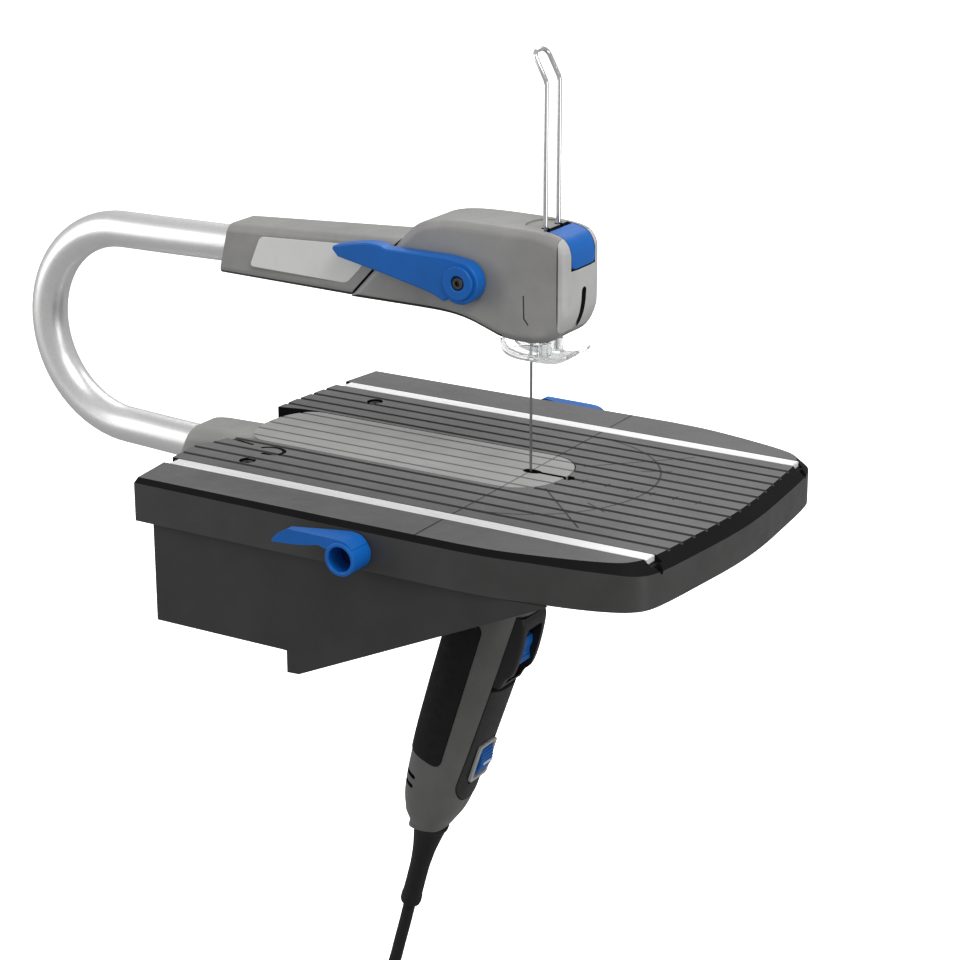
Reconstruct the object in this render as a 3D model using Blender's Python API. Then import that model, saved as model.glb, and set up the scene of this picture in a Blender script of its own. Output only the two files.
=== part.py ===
"""Bench scroll saw: a bow saw unit with a pistol handle, dropped into a base with a slotted work table.

Lengths are millimetres until a mesh is made. The origin is on the flat underside of the base's rear, which
rests on a bench. +X points to the front, where the operator stands, and +Z is up. The blade is vertical.
"""

import math

import bmesh
import bpy
from mathutils import Matrix, Vector

MM = 0.001
GAP = 0.3  # clearance between touching pieces

# Driving dimensions
TABLE_Z = 76.0  # top of the work table over the bench
TABLE_RIM = 23.0  # height of the table's side wall
PLATE = 7.0  # thickness of the table's plate
BLADE_X = 117.0
BLADE_LENGTH = 100.0
RAIL_Y = 80.0
RAIL_WIDTH = 8.0
ARM_HALF_WIDTH = 28.5  # the saw unit's lower arm, in the table's slot
TUBE_RADIUS = 10.0
TUBE_WALL = 2.0
BEND_RADIUS = 56.2
BEND_X = -139.8
BEND_Z = 114.8
HEAD_HALF_WIDTH = 18.5
LEVER_X, LEVER_Z = 91.0, 177.3
ROD_X, ROD_Y, ROD_RADIUS = 128.5, 6.5, 1.2
LOCK_X, LOCK_Z = 85.0, 62.5
HANDLE_TILT = math.radians(18.0)
HANDLE_ORIGIN = Vector((83.9, 0.0, -40.0))
DIAL_X, DIAL_Z = 8.8, -48.4  # in the handle's own frame
GEAR_UP = 72.0  # the crank gear's centre, along the handle's axis from its origin
GEAR_RADIUS = 14.0
CRANK = 4.0
CORD_RADIUS = 3.5
COIL_RADIUS = 38.5  # middle of the turns
COIL_HALF = 10.8  # half the thickness of the bundle of turns
COIL_X, COIL_Z = 29.5, -299.0
TAIL_X = COIL_X - COIL_RADIUS - 2 * CORD_RADIUS  # where the cord leaves the coil for the plug
TAIL_Y = 7.1
PLUG_Z = -352.0  # top of the plug
RELIEF_X = 54.5  # where the cord leaves the handle
RELIEF_TILT = math.radians(15.2)

HANDLE = (Matrix.Translation(HANDLE_ORIGIN * MM) @ Matrix.Rotation(HANDLE_TILT, 4, "Y"))


# Materials

def finish(name, colour, roughness, metallic=0.0):
    material = bpy.data.materials.new(name)
    material.use_nodes = True
    shader = material.node_tree.nodes["Principled BSDF"]
    shader.inputs["Base Color"].default_value = (*colour, 1.0)
    shader.inputs["Roughness"].default_value = roughness
    shader.inputs["Metallic"].default_value = metallic
    material.diffuse_color = (*colour, 1.0)
    return material


# Building blocks

def add(name, points, faces, material, matrix=None):
    """A named object from points in millimetres. Points that meet, as on a turned piece's axis, become one."""
    mesh = bpy.data.meshes.new(name)
    mesh.from_pydata([Vector(p) * MM for p in points], [], faces)
    shape = bmesh.new()
    shape.from_mesh(mesh)
    bmesh.ops.remove_doubles(shape, verts=shape.verts, dist=1e-7)
    bmesh.ops.delete(shape, geom=[e for e in shape.edges if not e.link_faces], context="EDGES")
    flatten(shape)
    bmesh.ops.recalc_face_normals(shape, faces=shape.faces)
    shape.to_mesh(mesh)
    shape.free()
    mesh.materials.append(material)
    smooth_round(mesh)
    piece = bpy.data.objects.new(name, mesh)
    bpy.context.scene.collection.objects.link(piece)
    if matrix is not None:
        piece.matrix_world = matrix
    return piece


def flatten(shape):
    """Splits the faces that aren't flat."""
    bmesh.ops.connect_verts_nonplanar(shape, angle_limit=math.radians(0.05), faces=shape.faces)


def smooth_round(mesh):
    mesh.shade_smooth()
    mesh.set_sharp_from_angle(angle=math.radians(35.0))


def loft(name, rings, material, matrix=None, closed=False):
    """Rings of equal count, skinned in order; the two ends are capped, or joined if closed."""
    count = len(rings[0])
    points = [p for ring in rings for p in ring]
    faces = []
    spans = len(rings) if closed else len(rings) - 1
    for i in range(spans):
        a = i * count
        b = ((i + 1) % len(rings)) * count
        for j in range(count):
            k = (j + 1) % count
            faces.append((a + j, a + k, b + k, b + j))
    if not closed:
        faces.append(tuple(reversed(range(count))))
        faces.append(tuple(range(len(points) - count, len(points))))
    return add(name, points, faces, material, matrix)


def prism(name, outline, low, high, material, axis="Y", matrix=None):
    """An outline pushed along an axis. The outline is in the other two axes, in X, Y, Z order."""
    def at(pair, level):
        u, v = pair
        return {"X": (level, u, v), "Y": (u, level, v), "Z": (u, v, level)}[axis]
    rings = [[at(pair, low) for pair in outline], [at(pair, high) for pair in outline]]
    return loft(name, rings, material, matrix)


def box(name, low, high, material, matrix=None):
    outline = [(low[0], low[2]), (high[0], low[2]), (high[0], high[2]), (low[0], high[2])]
    return prism(name, outline, low[1], high[1], material, "Y", matrix)


def circle(u, v, radius, count=24, start=0.0, turn=360.0):
    """Points round an arc; a full circle leaves out the last point, which repeats the first."""
    steps = count if abs(turn) >= 360.0 else count - 1
    angles = [math.radians(start + turn * i / steps) for i in range(count)]
    return [(u + radius * math.cos(a), v + radius * math.sin(a)) for a in angles]


def turned(name, profile, at, axis, material, count=24, matrix=None):
    """A profile of (radius, height) pairs turned about an axis through a point, where the origin then is."""
    along = Vector({"X": (1, 0, 0), "Y": (0, 1, 0), "Z": (0, 0, 1)}[axis])
    side = Vector((0, 1, 0)) if axis == "X" else Vector((1, 0, 0))
    other = along.cross(side)
    rings = []
    for i in range(count):
        angle = 2.0 * math.pi * i / count
        out = side * math.cos(angle) + other * math.sin(angle)
        rings.append([out * r + along * h for r, h in profile])
    return loft(name, rings, material, (matrix or Matrix()) @ Matrix.Translation(Vector(at) * MM), closed=True)


def rod(name, at, axis, length, radius, material, count=20, matrix=None):
    """A round bar that starts at a point and runs along an axis."""
    u, v = {"X": (at[1], at[2]), "Y": (at[0], at[2]), "Z": (at[0], at[1])}[axis]
    start = {"X": at[0], "Y": at[1], "Z": at[2]}[axis]
    low, high = sorted((start, start + length))
    return prism(name, circle(u, v, radius, count), low, high, material, axis, matrix)


def swept(name, path, radius, material, inner=0.0, count=16):
    """A round bar or a tube along a path in the plane where Y is constant, or nearly so."""
    rings = []
    inside = []
    up = Vector((0, 1, 0))
    for i, point in enumerate(path):
        before = Vector(path[max(i - 1, 0)])
        after = Vector(path[min(i + 1, len(path) - 1)])
        along = (after - before).normalized()
        side = along.cross(up).normalized()
        across = side.cross(along).normalized()
        up = across
        angles = [2.0 * math.pi * k / count for k in range(count)]
        rings.append([Vector(point) + (side * math.cos(a) + across * math.sin(a)) * radius for a in angles])
        inside.append([Vector(point) + (side * math.cos(a) + across * math.sin(a)) * inner for a in angles])
    if inner:
        return loft(name, rings + inside[::-1], material, closed=True)
    return loft(name, rings, material)


def combine(piece, other, operation):
    """Cuts, joins or intersects a piece with another, which is used up."""
    modifier = piece.modifiers.new(operation, "BOOLEAN")
    modifier.operation = operation
    modifier.object = other
    bpy.context.view_layer.update()
    evaluated = piece.evaluated_get(bpy.context.evaluated_depsgraph_get())
    mesh = bpy.data.meshes.new_from_object(evaluated)
    piece.modifiers.clear()
    piece.data = mesh
    mesh.name = piece.name
    smooth_round(mesh)
    bpy.data.objects.remove(other)
    return piece


def cut(piece, *cutters):
    for cutter in cutters:
        combine(piece, cutter, "DIFFERENCE")
    return piece


def join(piece, *others):
    for other in others:
        combine(piece, other, "UNION")
    return piece


def bevel(piece, width, segments, chosen):
    """Rounds the edges that a test picks; the test sees the two ends in millimetres."""
    shape = bmesh.new()
    shape.from_mesh(piece.data)
    edges = [e for e in shape.edges if chosen(e.verts[0].co / MM, e.verts[1].co / MM)]
    bmesh.ops.bevel(shape, geom=edges, offset=width * MM, segments=segments, profile=0.5,
                    affect="EDGES", clamp_overlap=True)
    flatten(shape)
    shape.to_mesh(piece.data)
    shape.free()
    smooth_round(piece.data)
    return piece


def twin(piece, name):
    """The mirror image of a piece across the plane Y = 0, as a new object."""
    points = [piece.matrix_world @ v.co / MM for v in piece.data.vertices]
    flipped = [(p.x, -p.y, p.z) for p in points]
    faces = [tuple(reversed(f.vertices)) for f in piece.data.polygons]
    return add(name, flipped, faces, piece.data.materials[0])


def super_ring(centre, half_a, half_b, power, count=20):
    """A rounded outline in local x and y, between an ellipse and a rectangle."""
    ring = []
    for i in range(count):
        angle = 2.0 * math.pi * (i + 0.5) / count
        c, s = math.cos(angle), math.sin(angle)
        scale = (abs(c) ** power + abs(s) ** power) ** (-1.0 / power)
        ring.append((centre + half_a * c * scale, half_b * s * scale))
    return ring


def pivot(name, at, matrix=None):
    """Moves a piece's origin onto its joint's axis, in the piece's own frame, without moving the piece."""
    piece = bpy.data.objects[name]
    offset = Vector(at) * MM
    piece.data.transform(Matrix.Translation(-offset))
    piece.matrix_world = (matrix or Matrix()) @ Matrix.Translation(offset)


def split_half(piece, side):
    """Keeps one side of the plane Y = 0, with half the seam's clearance."""
    sign = 1 if side == "left" else -1
    near, far = sorted((sign * GAP / 2, sign * 200.0))
    keep = box("keep", (-400, near, -400), (400, far, 400), piece.data.materials[0])
    return combine(piece, keep, "INTERSECT")


# Base: table, rails, housing, screws and side locks

# Half the table's plan: the top's edge, the wall's edge, and how far the wall's top is below the table's
TABLE_EDGE = (((-58.5, 0.0), (-58.5, 0.0), 1.2), ((-57.5, 40.0), (-57.5, 40.0), 1.2),
              ((-54.0, 75.0), (-54.0, 75.0), 1.2), ((-49.5, 110.0), (-50.5, 112.4), 2.6),
              ((60.0, 110.4), (60.0, 112.8), 3.0), ((141.0, 110.4), (141.0, 112.8), 3.0),
              ((161.0, 109.0), (161.0, 111.6), 3.0), ((181.0, 105.4), (181.5, 108.6), 3.0),
              ((201.0, 100.6), (202.5, 104.8), 3.4), ((214.5, 96.2), (217.0, 100.4), 4.0),
              ((221.5, 92.2), (226.0, 95.6), 5.0), ((226.3, 84.8), (231.6, 88.4), 5.6),
              ((228.9, 73.6), (234.6, 74.6), 6.0), ((231.4, 48.0), (237.4, 48.6), 6.0),
              ((233.8, 22.0), (239.8, 22.2), 6.0), ((234.6, 0.0), (240.6, 0.0), 6.0))


def mirrored(half):
    return half + [(x, -y) for x, y in reversed(half[1:-1])]


def arm_outline(grow):
    """Plan of the slot for the lower arm, or of the arm's own cover, with round ends."""
    half = ARM_HALF_WIDTH + grow
    front = []
    for i in range(13):
        angle = math.radians(90.0 - 15.0 * i)
        c, s = math.cos(angle), math.sin(angle)
        scale = (abs(c) ** 2.3 + abs(s) ** 2.3) ** (-1 / 2.3)
        front.append((112.0 + (25.0 + grow) * c * scale, half * s * scale))
    return front


def make_table(dark):
    floor = TABLE_Z - TABLE_RIM
    other_half = [((tx, -ty), (wx, -wy), drop) for (tx, ty), (wx, wy), drop in reversed(TABLE_EDGE[1:-1])]
    edge = list(TABLE_EDGE) + other_half
    rings = [[(x, y, TABLE_Z) for (x, y), wall, drop in edge], [(x, y, TABLE_Z - drop) for top, (x, y), drop in edge],
             [(x, y, floor) for top, (x, y), drop in edge]]
    table = loft("table_top", rings, dark)
    pocket = [(-50.0, 0.0), (-46.0, 75.0), (-42.0, 106.5), (140.0, 106.5), (180.0, 102.0), (205.0, 96.0),
              (222.0, 75.0), (228.0, 40.0), (231.0, 0.0)]
    cut(table, prism("pocket", mirrored(pocket), floor - 5.0, TABLE_Z - PLATE, dark, "Z"))
    slot = arm_outline(0.5) + [(-35.0, -29.0), (-44.0, -30.6), (-48.8, -34.6), (-50.6, -41.0), (-56.6, -52.0),
                               (-80.0, -53.5), (-80.0, 23.5), (-57.7, 24.5), (-44.0, 28.0), (-35.0, 29.0)]
    cut(table, prism("slot", slot, floor - 5.0, TABLE_Z + 5.0, dark, "Z"))
    for sign in (-1, 1):
        low = sign * RAIL_Y - RAIL_WIDTH / 2 - GAP
        high = sign * RAIL_Y + RAIL_WIDTH / 2 + GAP
        groove = [(-70.0, low), (231.5, low), (233.5, (low + high) / 2), (231.5, high), (-70.0, high)]
        cut(table, prism("groove", groove, TABLE_Z - 3.3, TABLE_Z + 5.0, dark, "Z"))
        cut(table, rod("hole", (-17.4, sign * 60.0, TABLE_Z - 20), "Z", 30.0, 2.2, dark, 16))
        cut(table, rod("sink", (-17.4, sign * 60.0, TABLE_Z - 4.0), "Z", 10.0, 3.6, dark, 16))
        cut(table, rod("lock_hole", (LOCK_X, sign * 100.0, LOCK_Z), "Y", sign * 20.0, 5.8, dark, 20))
    end_hole = rod("blade_hole", (139.0, 0.0, TABLE_Z - 20), "Z", 30.0, 2.6, dark, 16)
    neck = box("neck", (130.0, -1.0, TABLE_Z - 20), (139.0, 1.0, TABLE_Z + 5), dark)
    return cut(table, end_hole, neck)


def make_base(dark, metal, black, blue):
    make_table(dark)
    for sign, side in ((-1, "right"), (1, "left")):
        low = sign * RAIL_Y - RAIL_WIDTH / 2
        rail = box(f"rail_{side}", (-49.4, low, TABLE_Z - 3.0), (227.7, low + RAIL_WIDTH, TABLE_Z), metal)
        bevel(rail, 0.3, 1, lambda a, b: a.z > TABLE_Z - 0.1 and b.z > TABLE_Z - 0.1)
    housing = make_housing(black)
    for sign, side in ((-1, "right"), (1, "left")):
        cut(housing, rod("pilot", (-17.4, sign * 60.0, 45.0), "Z", 40.0, 2.2, black, 16))
        head = [(0.0, TABLE_Z - 2.6), (1.0, TABLE_Z - 2.6), (1.0, TABLE_Z - 1.0), (3.2, TABLE_Z - 1.0),
                (3.2, TABLE_Z - 3.7), (1.9, TABLE_Z - 3.7), (1.9, 48.0), (0.0, 47.0)]
        turned(f"table_screw_{side}", head, (-17.4, sign * 60.0, 0.0), "Z", black, 16)
    lever = make_lock_lever(blue)
    bolt = make_lock_bolt(metal)
    twin(lever, "lock_lever_left")
    twin(bolt, "lock_bolt_left")


def make_housing(black):
    """The skirt under the table: side and rear walls, the seat on the bench and the lip over its edge."""
    wall, half = 3.2, 110.4
    top = TABLE_Z - TABLE_RIM - GAP
    side = [(-40.8, top), (-40.8, 0.0), (40.2, 0.0), (40.2, -11.8), (47.4, -11.4), (129.0, 26.0), (188.6, top)]
    housing = prism("base_housing", side, -half, half, black)
    seat = 4.0
    inner = [(-40.8 + wall, top + 9), (-40.8 + wall, seat), (44.0, seat), (44.0, -40.0), (260.0, -40.0),
             (260.0, top + 9)]
    cut(housing, prism("inner", inner, wall - half, half - wall, black))
    apron = [(148.0, 35.2), (187.2, top - 0.4), (183.0, top - 0.4), (147.0, 37.6)]
    join(housing, prism("apron", apron, 1.0 - half, half - 1.0, black))
    guide_top = TABLE_Z - PLATE - GAP
    guide = [(-39.0, guide_top), (-39.0, seat - 1.0), (43.0, seat - 1.0), (43.0, -8.0), (129.0, 29.0), (150.0, 38.5),
             (150.0, guide_top)]
    for sign in (-1, 1):
        low, high = sorted((sign * 31.0, sign * 33.5))
        join(housing, prism("guide", guide, low, high, black))
        window = box("window", (LOCK_X - 4.6, sign * 40.0 - 10, LOCK_Z - 4.1),
                     (LOCK_X + 4.6, sign * 40.0 + 10, LOCK_Z + 4.1), black)
        cut(housing, window)
        join(housing, rod("boss", (-17.4, sign * 60.0, seat - 1.0), "Z", guide_top - seat + 1.0, 6.0, black, 20))
    throat = [(-19.0, 38.0), (19.0, 38.0), (19.0, 80.0), (-19.0, 80.0)]
    return cut(housing, prism("throat", throat, -60.0, -20.0, black, "X"))


def make_lock_lever(blue):
    """The right-hand lever: an open boss, an arm that thins out to the rear and a spigot through the rim."""
    outer, inner = -128.0, -113.1
    boss = [(6.5, outer), (8.5, outer + 0.4), (8.6, inner), (5.5, inner), (5.5, -104.5), (4.0, -104.0),
            (4.0, -92.0), (0.0, -92.0), (0.0, -116.0), (6.5, -116.0)]
    lever = turned("lock_lever_right", boss, (LOCK_X, 0.0, LOCK_Z), "Y", blue, 24)
    side = [(45.4, 64.4), (60.0, 65.4), (67.5, 66.6), (72.0, 67.6), (75.0, 66.8), (78.5, 66.1), (81.3, 68.9),
            (85.0, 69.9), (88.7, 68.9), (90.7, 67.3), (91.8, 68.4), (88.8, 71.2), (84.0, 72.3), (54.5, 72.6),
            (48.5, 69.2), (44.9, 65.4)]
    plan = [(40.0, outer + 0.9), (100.0, outer + 0.9), (100.0, inner - 0.4), (83.0, inner - 0.4), (75.0, -116.0),
            (63.0, -120.0), (53.0, -123.4), (40.0, -124.4)]
    arm = prism("arm", side, outer - 5.0, inner + 5.0, blue)
    return join(lever, combine(arm, prism("plan", plan, 50.0, 90.0, blue, "Z"), "INTERSECT"))


def make_lock_bolt(metal):
    """The right-hand bolt, which the lever draws out of the saw unit's side."""
    block = box("lock_bolt_right", (LOCK_X - 6, -94.0, LOCK_Z - 6), (LOCK_X + 6, -78.0, LOCK_Z + 6), metal)
    join(block, box("bar", (LOCK_X - 4, -79.0, LOCK_Z - 3.5), (LOCK_X + 4, -26.0, LOCK_Z + 3.5), metal))
    return cut(block, rod("bore", (LOCK_X, -99.0, LOCK_Z), "Y", 19.0, 4.3, metal, 20))


# Bow: tube, collars and label

def bow_path():
    path = [(3.0, 0.0, 173.4), (-60.0, 0.0, 172.4), (-110.0, 0.0, 171.4)]
    for i in range(17):
        angle = math.radians(90.0 + 180.0 * i / 16)
        path.append((BEND_X + BEND_RADIUS * math.cos(angle), 0.0, BEND_Z + BEND_RADIUS * math.sin(angle)))
    return path + [(-115.0, 0.0, 57.4), (-85.0, 0.0, 56.0), (-50.0, 0.0, 54.4)]


def sloped_ring(x, lean, z_low, z_high, half_width, corner, count=4):
    """A rounded rectangle across X whose plane leans forward towards its top."""
    middle = (z_low + z_high) / 2
    ring = []
    for u, v, start in ((1, 1, 0), (-1, 1, 90), (-1, -1, 180), (1, -1, 270)):
        cy = u * (half_width - corner)
        cz = middle + v * ((z_high - z_low) / 2 - corner)
        for y, z in circle(cy, cz, corner, count, start, 90.0):
            ring.append((x + lean * (z - middle), y, z))
    return ring


def make_bow(metal, grey, pale):
    swept("bow_tube", bow_path(), TUBE_RADIUS, metal, TUBE_RADIUS - TUBE_WALL)
    rings = []
    for share in (0.0, 0.25, 0.5, 0.75, 1.0):
        x = -63.0 + 96.4 * share
        rings.append(sloped_ring(x, 0.25 + 0.68 * share, 158.6 - 0.6 * share, 186.3 + 5.9 * share,
                                 13.4 + 3.2 * share, 4.5 + 1.0 * share))
    sleeve = loft("upper_sleeve", rings, grey)
    cut(sleeve, rod("bore", (-90.0, 0.0, 172.9), "X", 95.0, TUBE_RADIUS + 1.2, grey, 24))
    panel = [(-37.5, 183.8), (-45.0, 165.6), (17.5, 164.4), (27.5, 175.0), (30.5, 187.2)]
    join(sleeve, prism("pad", panel, -17.2, -12.8, grey))
    cut(sleeve, prism("recess", panel, -20.0, -15.9, grey))
    inset = [(-36.9, 183.1), (-44.1, 166.2), (17.1, 165.0), (26.8, 175.2), (29.7, 186.4)]
    prism("label_plate", inset, -16.6, -15.9 + GAP - 0.4, pale)

    rings = []
    for x, lean, low, high, half in ((-95.5, 0.42, 42.0, 69.2, 14.9), (-87.0, 0.38, 41.4, 70.1, 16.4),
                                     (-66.0, 0.2, 41.0, 70.3, 17.0), (-52.0, 0.0, 41.0, 70.3, 17.4),
                                     (-48.5, 0.0, 41.0, 69.9, 17.6), (-37.4, 0.0, 41.0, 69.9, 17.6)):
        rings.append(sloped_ring(x, lean, low, high, half, 8.0))
    collar = loft("lower_collar", rings, grey)
    cut(collar, rod("bore", (-120.0, 0.0, 56.0), "X", 74.0, TUBE_RADIUS + 2.2, grey, 24))


# Lower arm and handle

HANDLE_SECTIONS = (  # along the axis, centre offset, half depth, half width
    (-112.0, 1.0, 9.2, 9.4), (-102.0, 1.2, 9.9, 10.1), (-96.0, 0.4, 12.9, 13.2), (-86.0, 0.7, 16.1, 16.4),
    (-75.0, 0.6, 17.8, 17.6), (-60.0, 0.2, 18.8, 18.2), (-39.0, 0.0, 19.9, 18.6), (0.0, 0.0, 21.0, 19.0),
    (40.0, 0.0, 21.8, 19.3), (70.0, 0.0, 22.0, 19.5))


def handle_solid(name, grow, material, low=-200.0, high=200.0):
    """The handle's outer shape, grown or shrunk by an amount, between two heights along its axis."""
    rings = []
    for z, centre, a, b in HANDLE_SECTIONS:
        if low <= z <= high:
            height = z + (min(grow, 0.0) if z > 0 else -min(grow, 0.0)) * (abs(z) > 65)
            rings.append([(x, y, height) for x, y in super_ring(centre, a + grow, b + grow, 2.6)])
    return loft(name, rings, material, HANDLE)


def handle_box(name, low, high, material):
    return box(name, low, high, material, HANDLE)


ARM_SIDE = [(-37.0, 71.7), (134.0, 71.7), (134.0, 40.0), (131.0, 22.0), (124.0, 12.0), (84.0, 12.0), (66.0, 34.0),
            (-26.0, 38.0), (-37.0, 44.0)]
ARM_INSIDE = [(-34.2, 80.0), (131.2, 80.0), (131.2, 41.0), (128.3, 23.5), (122.5, 15.0), (87.0, 15.0),
              (67.5, 37.0), (-25.0, 41.0), (-34.2, 46.0)]
HANDLE_END = -138.9


def make_saw_housing(name, side, grey):
    """One half of the moulded body: the lower arm's box and half of the handle, hollow inside."""
    body = prism(name, ARM_SIDE, -ARM_HALF_WIDTH + GAP, ARM_HALF_WIDTH - GAP, grey)
    nose = prism("nose", arm_outline(-GAP) + [(-60.0, -28.0), (-60.0, 28.0)], -20.0, 90.0, grey, "Z")
    combine(body, nose, "INTERSECT")
    join(body, handle_solid("handle", 0.0, grey))
    cut(body, prism("room", ARM_INSIDE, 2.8 - ARM_HALF_WIDTH, ARM_HALF_WIDTH - 2.8, grey))
    cut(body, handle_solid("hollow", -2.6, grey, -97.0))
    cut(body, box("end", (0.0, -40.0, -200.0), (120.0, 40.0, HANDLE_END), grey))
    channel = handle_box("channel", (12.0, -13.0, -62.8), (40.0, 13.0, 48.0), grey)
    foot = prism("foot", circle(0.0, -62.8, 13.0, 17), 12.0, 40.0, grey, "X", HANDLE)
    cut(body, channel, foot)
    panel = handle_solid("skin", 1.5, grey, -70.0, 45.0)
    cut(panel, handle_solid("core", -1.7, grey, -200.0, 80.0))
    area = handle_box("area", (-40.0, -40.0, -56.3), (5.3, 40.0, 36.3), grey)
    combine(panel, area, "INTERSECT")
    cut(body, panel)
    cut(body, box("tube_way", (-60.0, -20.0, 40.0), (-30.0, 20.0, 90.0), grey))
    notch = 1 if side == "left" else -1
    cut(body, box("catch", (LOCK_X - 4.6, notch * 27.6 - 2.6, LOCK_Z - 4.1),
                  (LOCK_X + 4.6, notch * 27.6 + 2.6, LOCK_Z + 4.1), grey))
    for row in (-70.0, -76.0):
        cut(body, handle_box("vent", (-16.0, notch * 15.5 - 6.0, row - 1.2),
                             (-7.0, notch * 15.5 + 6.0, row + 1.2), grey))
    cut(body, rod("cord_way", (RELIEF_X, 0.0, HANDLE_END - 5.0), "Z", 20.0, 6.0, grey, 20))
    return split_half(body, side)


def make_grip(name, side, rubber):
    panel = handle_solid(name, 0.5, rubber, -70.0, 45.0)
    cut(panel, handle_solid("core", -1.4, rubber, -200.0, 80.0))
    area = handle_box("area", (-40.0, -40.0, -56.0), (5.0, 40.0, 36.0), rubber)
    combine(panel, area, "INTERSECT")
    return split_half(panel, side)


def make_handle_front(black, blue, pale, rubber, board):
    """The black strip down the handle's front, the guard round the switch, the switch and the speed dial."""
    strip = handle_solid("front_strip", 0.4, rubber, -86.0, 10.0)
    area = handle_box("area", (12.3, -12.7, -62.5), (40.0, 12.7, 3.0), rubber)
    join(area, prism("end", circle(0.0, -62.5, 12.7, 17), 12.3, 40.0, rubber, "X", HANDLE))
    combine(strip, area, "INTERSECT")
    cut(strip, handle_box("dial_well", (0.0, -6.5, -63.0), (40.0, 6.5, -33.8), rubber),
        handle_box("bezel_seat", (18.6, -9.5, -60.7), (40.0, 9.5, -36.1), rubber))

    side = [(12.3, 3.3), (21.4, 3.3), (22.8, 9.0), (25.6, 13.5), (26.2, 22.0), (24.2, 44.0), (22.4, 47.7),
            (12.3, 47.7)]
    guard = prism("switch_guard", side, -12.7, 12.7, black, "Y", HANDLE)
    bevel(guard, 2.0, 2, lambda a, b: abs(a.y) > 12.6 and abs(b.y) > 12.6 and abs(a.y - b.y) < 1
          and min(a.x, b.x) > 20)
    cut(guard, handle_box("well", (8.0, -8.0, 11.0), (40.0, 8.0, 41.0), black))
    ramp = [(18.0, 4.5), (30.0, 8.0), (30.0, 12.0), (18.0, 12.0)]
    cut(guard, prism("ramp", ramp, -8.0, 8.0, black, "Y", HANDLE))

    button = [(12.6, 15.5), (20.0, 15.5), (24.4, 18.0), (22.6, 24.0), (22.9, 27.0), (21.4, 31.5), (12.6, 31.5)]
    switch = prism("power_switch", button, -7.4, 7.4, blue, "Y", HANDLE)
    join(switch, handle_box("stem", (7.5, -3.0, 20.0), (14.0, 3.0, 27.0), blue))

    bezel = handle_box("dial_bezel", (18.9, -9.2, -60.4), (20.9, 9.2, -36.4), pale)
    cut(bezel, handle_box("window", (0.0, -6.5, -58.4), (40.0, 6.5, -38.4), pale))
    dial = [(0.0, -6.0), (13.4, -6.0), (14.0, -5.4), (14.0, 5.4), (13.4, 6.0), (0.0, 6.0)]
    turned("speed_dial", dial, (DIAL_X, 0.0, DIAL_Z), "Y", blue, 28, HANDLE)
    handle_box("control_board", (-8.0, -9.0, -86.0), (-6.4, 9.0, -67.0), board)


def make_motor(steel, copper, white, black):
    """The motor in the handle, with its shaft up to the crank gear."""
    ring = [(8.4, -19.0), (11.8, -19.0), (11.8, 10.0), (8.4, 10.0)]
    turned("motor_stator", ring, (0, 0, 0), "Z", steel, 24, HANDLE)
    spindle = [(0.0, -33.5), (2.0, -33.5), (2.0, -27.0), (6.0, -27.0), (6.0, -20.5), (2.0, -20.5),
               (2.0, -17.5), (7.9, -17.5), (7.9, 8.0), (2.0, 8.0), (2.0, 62.5),
               (0.0, 62.5)]
    turned("armature", spindle, (0, 0, 0), "Z", copper, 20, HANDLE)
    for name, low, high, radius, material in (
            ("bearing_lower", -33.0, -28.5, 6.5, steel),
            ("bearing_upper", 22.0, 27.0, 6.5, steel)):
        ring = [(2.1, low), (radius, low), (radius, high), (2.1, high)]
        turned(name, ring, (0, 0, 0), "Z", material, 20, HANDLE)
    vanes = []
    for i in range(9):
        for radius, angle in ((11.8, 0.0), (11.8, 12.0), (6.0, 16.0), (6.0, 36.0)):
            vanes.append(circle(0, 0, radius, 1, angle + 40.0 * i)[0])
    fan = prism("motor_fan", vanes, 11.5, 15.0, white, "Z", HANDLE)
    cut(fan, rod("bore", (0, 0, 0), "Z", 20.0, 2.2, white, 20, HANDLE))
    teeth = toothed(0.0, 0.0, 3.2, 4.3, 8)
    pinion = prism("pinion", teeth, 55.5, 61.5, steel, "Z", HANDLE)
    cut(pinion, rod("bore", (0, 0, 40.0), "Z", 30.0, 2.1, steel, 20, HANDLE))

    gear_x, gear_z = gear_centre()
    gear = prism("crank_gear", toothed(gear_x, gear_z, GEAR_RADIUS, GEAR_RADIUS + 1.4, 32), 4.7, 9.0, white)
    cut(gear, rod("bore", (gear_x, 0.0, gear_z), "Y", 20.0, 3.1, white, 20))
    join(gear, rod("pin", (gear_x + CRANK, -10.2, gear_z), "Y", 16.0, 2.5, white, 16))
    rod("crank_axle", (gear_x, 6.2, gear_z), "Y", 18.0, 2.9, steel, 20)


def toothed(u, v, root, tip, count):
    outline = []
    for i in range(count):
        for radius, share in ((root, 0.0), (root, 0.3), (tip, 0.42), (tip, 0.88)):
            outline.append(circle(u, v, radius, 1, 360.0 * (i + share) / count)[0])
    return outline


def gear_centre():
    middle = HANDLE @ Vector((0.0, 0.0, GEAR_UP * MM)) / MM
    return middle.x, middle.z


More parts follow.
